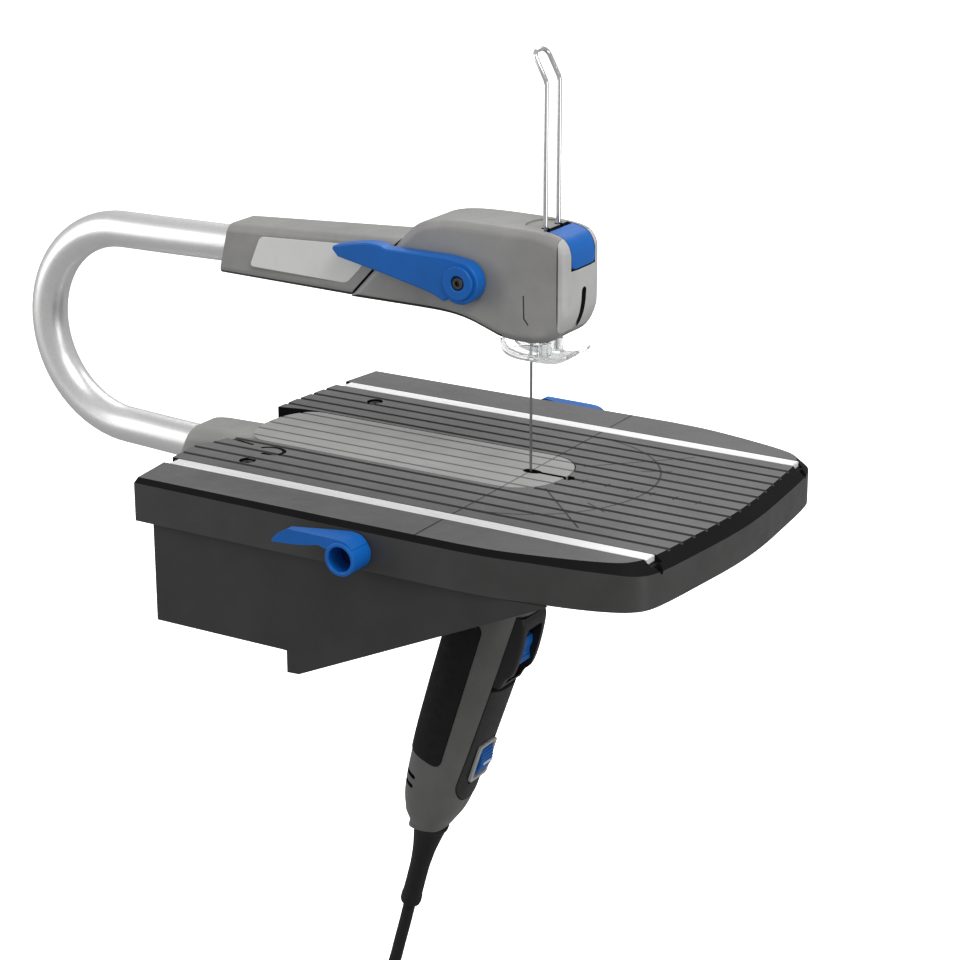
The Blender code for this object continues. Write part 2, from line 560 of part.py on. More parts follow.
def make_arm_cover(pale_grey):
    """The ribbed cover flush with the table, with the blade's slot at its tip."""
    rear = []
    for i in range(9):
        angle = math.radians(90.0 + 22.5 * i)
        rear.append((-30.0 + 17.0 * math.cos(angle), (ARM_HALF_WIDTH - 0.1) * math.sin(angle)))
    outline = arm_outline(-0.1) + rear[::-1]
    cover = prism("lower_arm_cover", outline, 72.0, TABLE_Z, pale_grey, "Z")
    slit = box("slit", (112.8, -0.9, 60.0), (150.0, 0.9, 90.0), pale_grey)
    eye = [(112.5, 0.0), (114.0, 2.3), (117.0, 3.0), (120.5, 2.6), (123.5, 0.8), (123.5, -0.8), (120.5, -2.6),
           (117.0, -3.0), (114.0, -2.3)]
    return cut(cover, slit, prism("eye", eye, 60.0, 90.0, pale_grey, "Z"))


def make_blade_train(steel, dark_steel, brass):
    """Blade, clamps and plungers, which move up and down together, and the bush that guides them."""
    box("blade", (BLADE_X - 0.65, -0.25, 51.5), (BLADE_X + 0.65, 0.25, 51.5 + BLADE_LENGTH), dark_steel)
    for name, low, high, slot_low, slot_high in (("lower_clamp", 46.0, 58.5, 51.0, 60.0),
                                                 ("upper_clamp", 145.0, 155.0, 140.0, 152.0)):
        clamp = box(name, (BLADE_X - 4.5, -4.0, low), (BLADE_X + 4.5, 4.0, high), dark_steel)
        cut(clamp, box("slot", (BLADE_X - 8.0, -0.6, slot_low), (BLADE_X + 8.0, 0.6, slot_high), steel))
    gear_x, gear_z = gear_centre()
    frame = box("lower_plunger", (gear_x - 10.0, -9.2, gear_z - 14.0), (gear_x + 10.0, -5.0, gear_z + 14.0), steel)
    window = [(gear_x - 7.2, gear_z - 10.9), (gear_x + 7.2, gear_z - 10.9), (gear_x + 7.2, gear_z + 10.9),
              (gear_x - 7.2, gear_z + 10.9)]
    cut(frame, prism("window", window, -20.0, 0.0, steel))
    join(frame, box("bridge", (gear_x + 8.0, -8.8, gear_z + 6.0), (BLADE_X + 3.4, 2.8, gear_z + 13.0), steel))
    join(frame, rod("stem", (BLADE_X, 0.0, gear_z + 8.0), "Z", 45.7 - gear_z - 8.0, 3.0, steel, 16))
    post = [(0.0, 155.3), (3.0, 155.3), (3.0, 188.0), (5.2, 188.0), (5.2, 191.0), (0.0, 191.0)]
    turned("upper_plunger", post, (BLADE_X, 0, 0), "Z", steel, 20)
    bush = box("plunger_guide", (BLADE_X - 6.5, -15.4, 159.6), (BLADE_X + 6.5, 15.4, 168.0), brass)
    cut(bush, rod("bore", (BLADE_X, 0, 150.0), "Z", 40.0, 3.3, brass, 24))
    coil = [(3.5, 176.7), (4.9, 176.7), (4.9, 187.7), (3.5, 187.7)]
    turned("tension_spring", coil, (BLADE_X, 0, 0), "Z", steel, 20)


# Head

HEAD_SIDE = [(53.0, 195.6), (60.0, 201.4), (70.0, 204.6), (85.0, 206.0), (108.0, 206.2), (128.0, 205.6),
             (139.0, 204.0), (144.0, 200.5), (146.4, 194.0), (147.0, 184.0), (146.6, 170.0), (144.6, 161.0),
             (140.4, 153.8), (134.0, 149.8), (122.0, 148.4), (110.0, 149.0), (101.0, 151.8), (90.0, 155.4),
             (78.0, 157.4), (60.0, 158.0), (18.2, 158.0)]
HEAD_INSIDE = [(60.0, 196.0), (72.0, 201.4), (86.0, 203.2), (108.0, 203.4), (130.0, 202.8), (137.6, 201.0),
               (138.2, 186.0), (138.2, 158.0), (132.0, 152.6), (122.0, 151.4), (110.0, 152.0), (102.0, 154.6),
               (91.0, 158.4), (78.0, 160.4), (60.0, 161.0), (27.0, 161.0)]
NOSE_X = 141.4


def head_blank(name, material):
    """The head's whole outer shape, with rounded side edges."""
    blank = prism(name, HEAD_SIDE, -HEAD_HALF_WIDTH, HEAD_HALF_WIDTH, material)
    return bevel(blank, 5.0, 3, lambda a, b: abs(a.y) > 18 and abs(b.y) > 18 and abs(a.y - b.y) < 1)


def make_head_shell(name, side, grey):
    shell = head_blank(name, grey)
    cut(shell, prism("room", HEAD_INSIDE, -15.8, 15.8, grey))
    cut(shell, box("front", (NOSE_X, -30.0, 100.0), (200.0, 30.0, 250.0), grey))
    cut(shell, box("button_room", (130.3, -12.0, 186.9), (200.0, 12.0, 230.0), grey))
    cut(shell, box("mouth", (107.0, -11.6, 130.0), (135.0, 11.6, 156.0), grey))
    for sign in (-1, 1):
        cut(shell, rod("wire_way", (ROD_X, sign * ROD_Y, 190.0), "Z", 30.0, ROD_RADIUS + GAP, grey, 12))
    if side == "right":
        cut(shell, rod("pivot_hole", (LEVER_X, -30.0, LEVER_Z), "Y", 20.0, 4.3, grey, 20))
    return split_half(shell, side)


def make_nose(grey, blue):
    nose = head_blank("nose_cap", grey)
    cut(nose, box("rear", (-100.0, -30.0, 100.0), (NOSE_X + GAP, 30.0, 250.0), grey))
    cut(nose, box("button_room", (100.0, -12.0, 186.9), (200.0, 12.0, 230.0), grey))
    slot = box("slot", (100.0, -2.2, 140.0), (200.0, 2.2, 177.0), grey)
    cut(nose, slot)
    button = head_blank("release_button", blue)
    keep = box("keep", (133.4, -11.7, 187.2), (200.0, 11.7, 230.0), blue)
    return combine(button, keep, "INTERSECT")


def make_tension(blue, black, steel, brass, white):
    """The blue lever and its shaft with a cam, the yoke the cam holds up, and the screw."""
    face, back = -29.0, -19.0
    arm = [(16.0, 187.6), (15.4, 184.8), (19.0, 181.6), (45.0, 176.6), (68.0, 171.6), (76.0, 169.4), (82.0, 166.6)]
    arm += circle(LEVER_X, LEVER_Z, 11.0, 13, -125.0, 215.0)
    arm += [(60.0, 189.4), (46.5, 189.3), (44.5, 191.0), (30.0, 190.0)]
    lever = prism("tension_lever", arm, face + 1.6, back, blue)
    bevel(lever, 1.2, 2, lambda a, b: a.y < face + 2 and b.y < face + 2)
    join(lever, rod("boss", (LEVER_X, face, LEVER_Z), "Y", 6.0, 8.6, blue, 24))
    cut(lever, rod("sink", (LEVER_X, face - 1.0, LEVER_Z), "Y", 4.6, 3.4, blue, 20))
    join(lever, rod("shaft", (LEVER_X, back - 1.0, LEVER_Z), "Y", 12.5, 4.0, blue, 20))
    cut(lever, rod("thread", (LEVER_X, face, LEVER_Z), "Y", 30.0, 1.7, blue, 16))
    head = [(0.0, -27.2), (1.2, -27.2), (1.2, -28.6), (3.1, -28.6), (3.1, -25.7), (1.4, -25.7), (1.4, -2.0),
            (0.0, -2.0)]
    turned("lever_screw", head, (LEVER_X, 0, LEVER_Z), "Y", black, 20)
    lobe = []
    for i in range(28):
        angle = 360.0 * i / 28
        past = (angle - 90.0) % 360.0
        radius = 15.4 - 6.0 * past / 90.0 if past <= 100.0 else 7.5
        lobe.append(circle(LEVER_X, LEVER_Z, radius, 1, angle)[0])
    cam = prism("lever_cam", lobe, -7.2, 3.0, white)
    cut(cam, rod("bore", (LEVER_X, -9.0, LEVER_Z), "Y", 20.0, 1.7, white, 16))
    stirrup = [(LEVER_X - 4.0, 193.6), (107.4, 193.6), (107.4, 174.0), (BLADE_X + 6.0, 174.0),
               (BLADE_X + 6.0, 176.4), (110.4, 176.4), (110.4, 197.0), (LEVER_X - 4.0, 197.0)]
    yoke = prism("tension_slider", stirrup, -6.5, 6.5, steel)
    cut(yoke, rod("hole", (BLADE_X, 0.0, 160.0), "Z", 25.0, 3.3, steel, 20))


def wire_path():
    """The hold-down wire: up one side, bent back at the top, across and down the other side."""
    lean = math.radians(28.0)
    back = Vector((-math.sin(lean), 0, math.cos(lean)))
    half = [Vector((ROD_X, -ROD_Y, 141.2)), Vector((ROD_X, -ROD_Y, 200.0)), Vector((ROD_X, -ROD_Y, 272.0))]
    for i in range(4):
        angle = lean * i / 3
        half.append(Vector((ROD_X - 7.0 * (1 - math.cos(angle)), -ROD_Y, 276.0 + 7.0 * math.sin(angle))))
    start = half[-1]
    for i in range(1, 6):
        angle = math.radians(90.0) * i / 5
        corner = 4.5
        half.append(start + back * (9.5 + corner * math.sin(angle))
                    + Vector((0, corner * (1 - math.cos(angle)), 0)))
    return half + [Vector((p.x, -p.y, p.z)) for p in reversed(half)]


def wire_solid(material):
    """The wire turns through three planes, so each ring is carried on from the one before."""
    path = wire_path()
    count = 10
    side = Vector((1, 0, 0))
    rings = []
    for i, point in enumerate(path):
        along = (path[min(i + 1, len(path) - 1)] - path[max(i - 1, 0)]).normalized()
        side = (side - along * side.dot(along)).normalized()
        across = along.cross(side)
        angles = [2.0 * math.pi * k / count for k in range(count)]
        rings.append([point + (side * math.cos(a) + across * math.sin(a)) * ROD_RADIUS for a in angles])
    return loft("hold_down_wire", rings, material)


def make_hold_down(chrome, clear, white, steel):
    wire_solid(chrome)
    under = [(102.6, 145.8), (103.4, 142.6), (107.0, 139.6), (113.0, 138.0), (119.0, 137.6), (133.0, 137.6),
             (139.0, 138.8), (143.0, 141.0), (147.0, 144.2)]
    over = [(146.2, 145.2), (142.0, 142.6), (138.0, 140.6), (133.0, 139.5), (119.0, 139.5), (113.4, 139.9),
            (108.0, 141.3), (105.4, 143.6), (104.6, 146.2)]
    foot = prism("foot", under + over, -11.0, 11.0, clear)
    cut(foot, box("way", (90.0, -5.2, 120.0), (122.6, 5.2, 160.0), clear))
    cut(foot, box("gap", (139.5, -4.0, 120.0), (160.0, 4.0, 160.0), clear))
    for sign in (-1, 1):
        join(foot, rod("boss", (ROD_X, sign * ROD_Y, 138.4), "Z", 8.6, 3.0, clear, 16))
        cut(foot, rod("socket", (ROD_X, sign * ROD_Y, 140.9), "Z", 12.0, ROD_RADIUS + GAP, clear, 12))
    brake = box("foot_brake", (120.5, -15.4, 199.0), (130.2, 15.4, 202.4), white)
    for sign in (-1, 1):
        cut(brake, rod("hole", (ROD_X, sign * ROD_Y, 190.0), "Z", 20.0, ROD_RADIUS + GAP, white, 12))
    coil = [(1.2, 122.6), (2.2, 122.6), (2.2, 130.2), (1.2, 130.2)]
    turned("button_spring", coil, (0.0, 0.0, 191.6), "X", steel, 16)


# Cord set

def cord_route():
    """From the strain relief's end down to the coil, on one smooth curve through a few chosen points."""
    return [Vector(p) for p in ((40.4, 0, -190.8), (37.0, 0, -204.0), (33.4, 0, -217.0), (29.8, 0, -230.0),
                                (25.8, 0, -238.3), (19.1, 0, -245.0), (11.3, 0, -249.05))]


def smooth(points, steps):
    """A Catmull-Rom curve through the points."""
    padded = [points[0] * 2 - points[1]] + points + [points[-1] * 2 - points[-2]]
    curve = []
    for i in range(1, len(padded) - 2):
        a, b, c, d = padded[i - 1:i + 3]
        for k in range(steps):
            t = k / steps
            curve.append((b * 2 + (c - a) * t + (a * 2 - b * 5 + c * 4 - d) * t * t
                          + (b * 3 - a - c * 3 + d) * t ** 3) / 2)
    return curve + [points[-1]]


def cord_tube(name, points, material):
    data = bpy.data.curves.new(name, "CURVE")
    data.dimensions = "3D"
    data.bevel_depth = CORD_RADIUS * MM
    data.bevel_resolution = 3
    data.use_fill_caps = True
    spline = data.splines.new("POLY")
    spline.points.add(len(points) - 1)
    for slot, point in zip(spline.points, points):
        slot.co = (*(point * MM), 1.0)
    data.materials.append(material)
    piece = bpy.data.objects.new(name, data)
    bpy.context.scene.collection.objects.link(piece)
    return piece


def make_cord_set(rubber, steel):
    lean = Matrix.Translation(Vector((RELIEF_X, 0.0, HANDLE_END)) * MM) @ Matrix.Rotation(RELIEF_TILT, 4, "Y")
    boot = [(0.0, 4.0), (10.4, 4.0), (10.0, 0.0), (8.9, -2.5), (7.5, -9.7), (6.5, -15.8), (5.9, -21.9), (5.5, -28.0),
            (5.5, -46.0), (5.8, -47.0), (5.8, -51.5), (4.6, -53.4), (0.0, -53.4)]
    relief = turned("strain_relief", boot, (0, 0, 0), "Z", rubber, 24, lean)
    cut(relief, box("above", (20.0, -20.0, HANDLE_END - GAP), (90.0, 20.0, HANDLE_END + 20.0), rubber))
    join(relief, rod("neck", (RELIEF_X, 0.0, HANDLE_END - 2.0), "Z", 12.0, 5.7, rubber, 20))
    cord_tube("cord", smooth(cord_route(), 3), rubber)
    cord_tube("cord_tail", [Vector((TAIL_X, TAIL_Y, COIL_Z - 26.5 - 2.285 * i)) for i in range(12)], rubber)
    section = []
    edge = COIL_HALF - 4.0
    for cr, ch, start in ((1, 1, 0), (-1, 1, 90), (-1, -1, 180), (1, -1, 270)):
        section += circle(COIL_RADIUS + cr * edge, ch * edge, 4.0, 4, start, 90.0)
    turned("cord_coil", section, (COIL_X, 0, COIL_Z), "Y", rubber, 32)
    middle = COIL_X + COIL_RADIUS
    tie = box("cord_tie", (middle - 13.0, -12.6, COIL_Z - 4.0), (middle + 12.8, 12.6, COIL_Z + 4.0), rubber)
    cut(tie, box("hole", (middle - 11.6, -11.2, COIL_Z - 9.0), (middle + 11.4, 11.2, COIL_Z + 9.0), rubber))
    body = [super_ring(TAIL_X, a, b, power, 16) for a, b, power in
            ((4.6, 4.6, 2.0), (5.4, 5.4, 2.0), (7.0, 10.0, 2.6), (8.0, 13.0, 3.5), (8.0, 13.0, 3.5))]
    heights = (PLUG_Z, PLUG_Z - 12.0, PLUG_Z - 17.0, PLUG_Z - 22.0, PLUG_Z - 38.0)
    plug = loft("plug_body", [[(x, y + TAIL_Y, z) for x, y in ring] for ring, z in zip(body, heights)], rubber)
    for sign, side in ((-1, "right"), (1, "left")):
        y = TAIL_Y + sign * 6.35
        low = heights[-1]
        box(f"plug_pin_{side}", (TAIL_X - 3.1, y - 0.75, low - 17.5), (TAIL_X + 3.1, y + 0.75, low - GAP), steel)
    return plug


def place_pivots():
    """Puts the origin of every moving piece on its joint's axis."""
    gear_x, gear_z = gear_centre()
    for name, sign in (("lock_lever_left", 1), ("lock_bolt_left", 1), ("lock_bolt_right", -1)):
        pivot(name, (LOCK_X, sign * 110.0, LOCK_Z))
    pivot("crank_gear", (gear_x, 0.0, gear_z))
    for name in ("blade", "lower_clamp", "upper_clamp", "lower_plunger"):
        pivot(name, (BLADE_X, 0.0, TABLE_Z))
    for name in ("tension_lever", "lever_cam"):
        pivot(name, (LEVER_X, 0.0, LEVER_Z))
    pivot("tension_slider", (BLADE_X, 0.0, 174.0))
    pivot("release_button", (BLADE_X, 0.0, 195.0))
    for name in ("hold_down_wire", "foot"):
        pivot(name, (ROD_X, 0.0, 140.0))
    pivot("power_switch", (20.0, 0.0, 23.5), HANDLE)


def main():
    for piece in list(bpy.data.objects):
        bpy.data.objects.remove(piece)
    dark = finish("dark_casting", (0.05, 0.05, 0.052), 0.5)
    black = finish("black_plastic", (0.035, 0.035, 0.037), 0.55)
    metal = finish("aluminium", (0.78, 0.79, 0.8), 0.32, 1.0)
    grey = finish("grey_plastic", (0.2, 0.2, 0.2), 0.5)
    light_grey = finish("light_grey_plastic", (0.33, 0.33, 0.33), 0.45)
    pale = finish("pale_label", (0.7, 0.7, 0.7), 0.4)
    blue = finish("blue_plastic", (0.01, 0.1, 0.42), 0.4)
    rubber = finish("black_rubber", (0.012, 0.012, 0.012), 0.7)
    steel = finish("steel", (0.55, 0.55, 0.56), 0.3, 1.0)
    dark_steel = finish("blade_steel", (0.2, 0.2, 0.21), 0.35, 1.0)
    chrome = finish("chrome", (0.85, 0.85, 0.86), 0.12, 1.0)
    brass = finish("brass", (0.6, 0.45, 0.2), 0.35, 1.0)
    copper = finish("copper_winding", (0.55, 0.25, 0.12), 0.4, 1.0)
    white = finish("white_nylon", (0.75, 0.75, 0.72), 0.5)
    clear = finish("clear_plastic", (0.9, 0.92, 0.92), 0.05)
    board = finish("green_board", (0.03, 0.18, 0.08), 0.5)

    make_base(dark, metal, black, blue)
    make_bow(metal, grey, pale)
    make_arm_cover(light_grey)
    for side in ("left", "right"):
        make_saw_housing(f"housing_{side}", side, grey)
        make_grip(f"grip_{side}", side, rubber)
        make_head_shell(f"head_shell_{side}", side, grey)
    make_handle_front(black, blue, pale, rubber, board)
    make_motor(steel, copper, white, black)
    make_blade_train(steel, dark_steel, brass)
    make_nose(light_grey, blue)
    make_tension(blue, black, steel, brass, white)
    make_hold_down(chrome, clear, white, steel)
    make_cord_set(rubber, steel)
    place_pivots()


main()
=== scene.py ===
"""The looks of a bench scroll saw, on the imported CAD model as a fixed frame.

Shapes here are written in millimetres in the frame's own axes (+X front, +Z up) and scaled when a mesh is
made. Driving places come from the frame's boxes. Each part has its own function.
"""

import math

import bmesh
import bpy
from mathutils import Matrix, Vector


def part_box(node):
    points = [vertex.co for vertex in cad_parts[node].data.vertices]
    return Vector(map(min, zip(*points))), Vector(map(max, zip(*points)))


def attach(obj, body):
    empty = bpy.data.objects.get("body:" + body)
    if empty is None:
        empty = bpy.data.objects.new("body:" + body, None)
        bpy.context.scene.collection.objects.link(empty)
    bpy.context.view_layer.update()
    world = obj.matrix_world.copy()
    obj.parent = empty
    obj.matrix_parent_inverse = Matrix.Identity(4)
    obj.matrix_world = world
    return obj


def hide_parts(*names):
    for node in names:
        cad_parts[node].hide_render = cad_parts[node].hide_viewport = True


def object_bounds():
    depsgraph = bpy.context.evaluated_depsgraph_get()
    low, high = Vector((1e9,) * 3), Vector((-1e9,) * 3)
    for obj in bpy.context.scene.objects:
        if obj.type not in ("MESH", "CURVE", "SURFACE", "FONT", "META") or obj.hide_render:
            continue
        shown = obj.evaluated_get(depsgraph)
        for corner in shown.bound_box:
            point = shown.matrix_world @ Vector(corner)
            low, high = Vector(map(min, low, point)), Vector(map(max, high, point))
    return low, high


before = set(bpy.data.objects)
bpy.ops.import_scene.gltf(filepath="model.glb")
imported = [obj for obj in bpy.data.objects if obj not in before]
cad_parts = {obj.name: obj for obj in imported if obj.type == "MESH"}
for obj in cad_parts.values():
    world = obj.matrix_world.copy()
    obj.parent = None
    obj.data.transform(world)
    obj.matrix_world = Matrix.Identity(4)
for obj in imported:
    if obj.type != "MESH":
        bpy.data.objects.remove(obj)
CAD_BOX = [list(corner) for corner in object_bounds()]

MM = 0.001


def low(node):
    """A node's lowest corner at rest, in millimetres."""
    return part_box(node)[0] / MM


def high(node):
    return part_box(node)[1] / MM


def middle(node):
    return (low(node) + high(node)) / 2


# Driving places, read from the frame
TABLE_Z = high("table_top").z
TABLE_FLOOR = low("table_top").z
BLADE_X = middle("blade").x
RAIL_Y = middle("rail_left").y
ARM_HALF = high("lower_arm_cover").y
LEVER_X = middle("lever_screw").x
LEVER_Z = middle("lever_screw").z
LOCK_X, LOCK_Z = 85.0, 62.5
ROD_X, ROD_Y, ROD_RADIUS = 128.5, 6.5, 1.2
HEAD_HALF = high("head_shell_left").y
NOSE_X = 141.4
TUBE_RADIUS = high("bow_tube").y
BEND_X, BEND_Z, BEND_RADIUS = -139.8, 114.8, 56.2
HANDLE_TILT = math.radians(18.0)
HANDLE = Matrix.Translation(Vector((83.9, 0.0, -40.0)) * MM) @ Matrix.Rotation(HANDLE_TILT, 4, "Y")
CORD_RADIUS = high("cord").y
COIL_X, COIL_Z = middle("cord_coil").x, middle("cord_coil").z
COIL_RADIUS = 38.5
RELIEF_X, HANDLE_END = 54.5, -138.9
RELIEF_TILT = math.radians(15.2)
SCREW_X, SCREW_Y = -17.4, 60.0  # the table's screws
GROOVE_STEP = 11.0  # between the table's grooves
LEVER_FACE, LEVER_BACK = -29.0, -19.0  # the tension lever's two sides
FAR = 400.0  # past every part
SIGN = {"left": 1, "right": -1}


# Camera, light and floor

def make_camera():
    """The photograph's viewpoint: 31 degrees round from the near side and 19 degrees up."""
    azimuth, elevation, roll = math.radians(31.17), math.radians(18.87), math.radians(-0.14)
    back = Vector((math.sin(azimuth) * math.cos(elevation), -math.cos(azimuth) * math.cos(elevation),
                   math.sin(elevation)))
    right = Vector((0, 0, 1)).cross(back).normalized()
    up = back.cross(right)
    right, up = right * math.cos(roll) + up * math.sin(roll), up * math.cos(roll) - right * math.sin(roll)
    target = Vector((BLADE_X, 0.0, TABLE_Z)) * MM
    data = bpy.data.cameras.new("camera")
    data.lens = 99.04
    data.clip_start, data.clip_end = 0.05, 40.0
    camera = bpy.data.objects.new("camera", data)
    bpy.context.scene.collection.objects.link(camera)
    place = target - right * 0.02592 - up * 0.00464 + back * 1.34736
    camera.matrix_world = Matrix((
        (right.x, up.x, back.x, place.x), (right.y, up.y, back.y, place.y),
        (right.z, up.z, back.z, place.z), (0, 0, 0, 1)))
    bpy.context.scene.camera = camera
    return camera


def area_light(name, place, size, power, aim=(60.0, 0.0, 60.0)):
    data = bpy.data.lights.new(name, "AREA")
    data.shape = "RECTANGLE"
    data.size, data.size_y = size
    data.energy = power
    light = bpy.data.objects.new(name, data)
    bpy.context.scene.collection.objects.link(light)
    light.location = Vector(place)
    direction = Vector(aim) * MM - light.location
    light.rotation_euler = direction.to_track_quat("-Z", "Y").to_euler()
    return light


def make_studio():
    """A white room lit from above: a bright ceiling, dim walls, and a floor that only the camera sees."""
    scene = bpy.context.scene
    scene.view_settings.view_transform = "Standard"
    world = bpy.data.worlds.new("studio")
    world.use_nodes = True
    nodes, links = world.node_tree.nodes, world.node_tree.links
    place = nodes.new("ShaderNodeTexCoord")
    split = nodes.new("ShaderNodeSeparateXYZ")
    ramp = nodes.new("ShaderNodeMapRange")
    ramp.inputs["From Min"].default_value = -0.3
    ramp.inputs["From Max"].default_value = 0.85
    ramp.inputs["To Min"].default_value = 0.4
    ramp.inputs["To Max"].default_value = 0.55
    nodes["Background"].inputs["Color"].default_value = (1.0, 1.0, 1.0, 1.0)
    links.new(place.outputs["Generated"], split.inputs["Vector"])
    links.new(split.outputs["Z"], ramp.inputs["Value"])
    links.new(ramp.outputs["Result"], nodes["Background"].inputs["Strength"])
    scene.world = world
    area_light("key_light", (1.1, -0.5, 1.5), (0.9, 0.9), 17.0)
    area_light("left_light", (-1.5, -1.0, 0.6), (1.2, 1.6), 13.0, (-60.0, 0.0, 110.0))
    area_light("front_light", (1.5, -0.2, 0.0), (0.6, 1.0), 5.0, (80.0, 0.0, -60.0))
    area_light("rim_light", (-0.2, 1.3, 1.5), (1.6, 0.6), 13.0)
    floor_z = CAD_BOX[0][2] - 0.0005
    size = 14.0
    mesh = bpy.data.meshes.new("floor")
    mesh.from_pydata([(-size, -size, floor_z), (size, -size, floor_z), (size, size, floor_z),
                      (-size, size, floor_z)], [], [(0, 1, 2, 3)])
    floor = bpy.data.objects.new("floor", mesh)
    scene.collection.objects.link(floor)
    floor.visible_diffuse = False
    floor.visible_glossy = False
    floor.visible_transmission = True
    white = bpy.data.materials.new("pale_floor")
    white.use_nodes = True
    shader = white.node_tree.nodes["Principled BSDF"]
    shader.inputs["Base Color"].default_value = (0.9, 0.9, 0.9, 1.0)
    shader.inputs["Roughness"].default_value = 0.9
    shader.inputs["Emission Color"].default_value = (1.0, 1.0, 1.0, 1.0)
    shader.inputs["Emission Strength"].default_value = 1.1
    mesh.materials.append(white)


# Materials

class Surface:
    """A Principled material with a small node builder."""

    def __init__(self, name, metallic=0.0, roughness=0.5, **sockets):
        self.material = bpy.data.materials.new(name)
        self.material.use_nodes = True
        self.tree = self.material.node_tree
        self.shader = self.tree.nodes["Principled BSDF"]
        self.shader.inputs["Metallic"].default_value = metallic
        self.shader.inputs["Roughness"].default_value = roughness
        for key, value in sockets.items():
            self.shader.inputs[key.replace("_", " ")].default_value = value
        self.place = self.tree.nodes.new("ShaderNodeTexCoord").outputs["Object"]

    def node(self, kind, **values):
        made = self.tree.nodes.new(kind)
        for key, value in values.items():
            if hasattr(made, key):
                setattr(made, key, value)
            else:
                made.inputs[key].default_value = value
        return made

    def link(self, output, target):
        self.tree.links.new(output, target)

    def noise(self, scale, detail=3.0, stretch=None, rough=0.6):
        """Noise in object space; scale is in features per metre."""
        texture = self.node("ShaderNodeTexNoise", Scale=scale, Detail=detail, Roughness=rough)
        place = self.place
        if stretch:
            mapping = self.node("ShaderNodeMapping")
            mapping.inputs["Scale"].default_value = stretch
            self.link(place, mapping.inputs["Vector"])
            place = mapping.outputs["Vector"]
        self.link(place, texture.inputs["Vector"])
        return texture.outputs["Fac"]

    def ramp(self, value, low_in, high_in, low_out, high_out):
        spread = self.node("ShaderNodeMapRange")
        spread.inputs["From Min"].default_value = low_in
        spread.inputs["From Max"].default_value = high_in
        spread.inputs["To Min"].default_value = low_out
        spread.inputs["To Max"].default_value = high_out
        self.link(value, spread.inputs["Value"])
        return spread.outputs["Result"]

    def math(self, operation, a, b=0.0):
        made = self.node("ShaderNodeMath", operation=operation)
        for socket, value in zip(made.inputs, (a, b)):
            if isinstance(value, (int, float)):
                socket.default_value = value
            else:
                self.link(value, socket)
        return made.outputs[0]

    def mix(self, share, first, second):
        """A colour between two; each is a colour or another node's output."""
        made = self.node("ShaderNodeMix", data_type="RGBA")
        self.link(share, made.inputs["Factor"])
        for socket, value in ((made.inputs[6], first), (made.inputs[7], second)):
            if isinstance(value, tuple):
                socket.default_value = (*value, 1.0)
            else:
                self.link(value, socket)
        return made.outputs[2]

    def colour(self, output):
        self.link(output, self.shader.inputs["Base Color"])

    def roughness(self, output):
        self.link(output, self.shader.inputs["Roughness"])

    def bump(self, height, strength, distance):
        made = self.node("ShaderNodeBump", Strength=strength, Distance=distance)
        self.link(height, made.inputs["Height"])
        self.link(made.outputs["Normal"], self.shader.inputs["Normal"])


def lighter(colour, factor):
    return tuple(min(c * factor, 1.0) for c in colour)


def moulded(name, colour, roughness=0.45, grain=0.25, spread=0.12, shine=0.28):
    """Injection-moulded plastic: a fine spark-eroded grain and a slight change of tone and gloss."""
    surface = Surface(name, Specular_IOR_Level=shine)
    tone = surface.ramp(surface.noise(35.0, 4.0), 0.3, 0.7, 0.0, 1.0)
    surface.colour(surface.mix(tone, lighter(colour, 1 - spread), lighter(colour, 1 + spread)))
    surface.roughness(surface.ramp(surface.noise(120.0, 3.0), 0.3, 0.7, roughness - 0.06, roughness + 0.06))
    surface.bump(surface.noise(2600.0, 2.0), grain, 0.0002)
    return surface.material


def satin_aluminium(name, colour, roughness, stretch, metallic):
    """Bright drawn aluminium, with fine lines along the way it was drawn."""
    surface = Surface(name, metallic=metallic)
    lines = surface.noise(900.0, 3.0, stretch)
    surface.colour(surface.mix(surface.ramp(lines, 0.3, 0.7, 0.0, 1.0), lighter(colour, 0.93), colour))
    surface.roughness(surface.ramp(lines, 0.25, 0.75, roughness - 0.05, roughness + 0.07))
    surface.bump(lines, 0.06, 0.0001)
    return surface.material


def metal(name, colour, roughness, grain=0.04):
    surface = Surface(name, metallic=1.0)
    mottle = surface.noise(600.0, 4.0)
    surface.colour(surface.mix(surface.ramp(mottle, 0.3, 0.7, 0.0, 1.0), lighter(colour, 0.9), colour))
    surface.roughness(surface.ramp(mottle, 0.3, 0.7, max(roughness - 0.05, 0.03), roughness + 0.05))
    surface.bump(mottle, grain, 0.0001)
    return surface.material


def soft_rubber(name, colour, roughness=0.75):
    surface = Surface(name, Specular_IOR_Level=0.2)
    tone = surface.ramp(surface.noise(60.0, 4.0), 0.3, 0.7, 0.0, 1.0)
    surface.colour(surface.mix(tone, lighter(colour, 0.85), lighter(colour, 1.25)))
    surface.roughness(surface.ramp(surface.noise(300.0, 3.0), 0.3, 0.7, roughness - 0.08, roughness + 0.06))
    surface.bump(surface.noise(4200.0, 2.0), 0.35, 0.0002)
    return surface.material


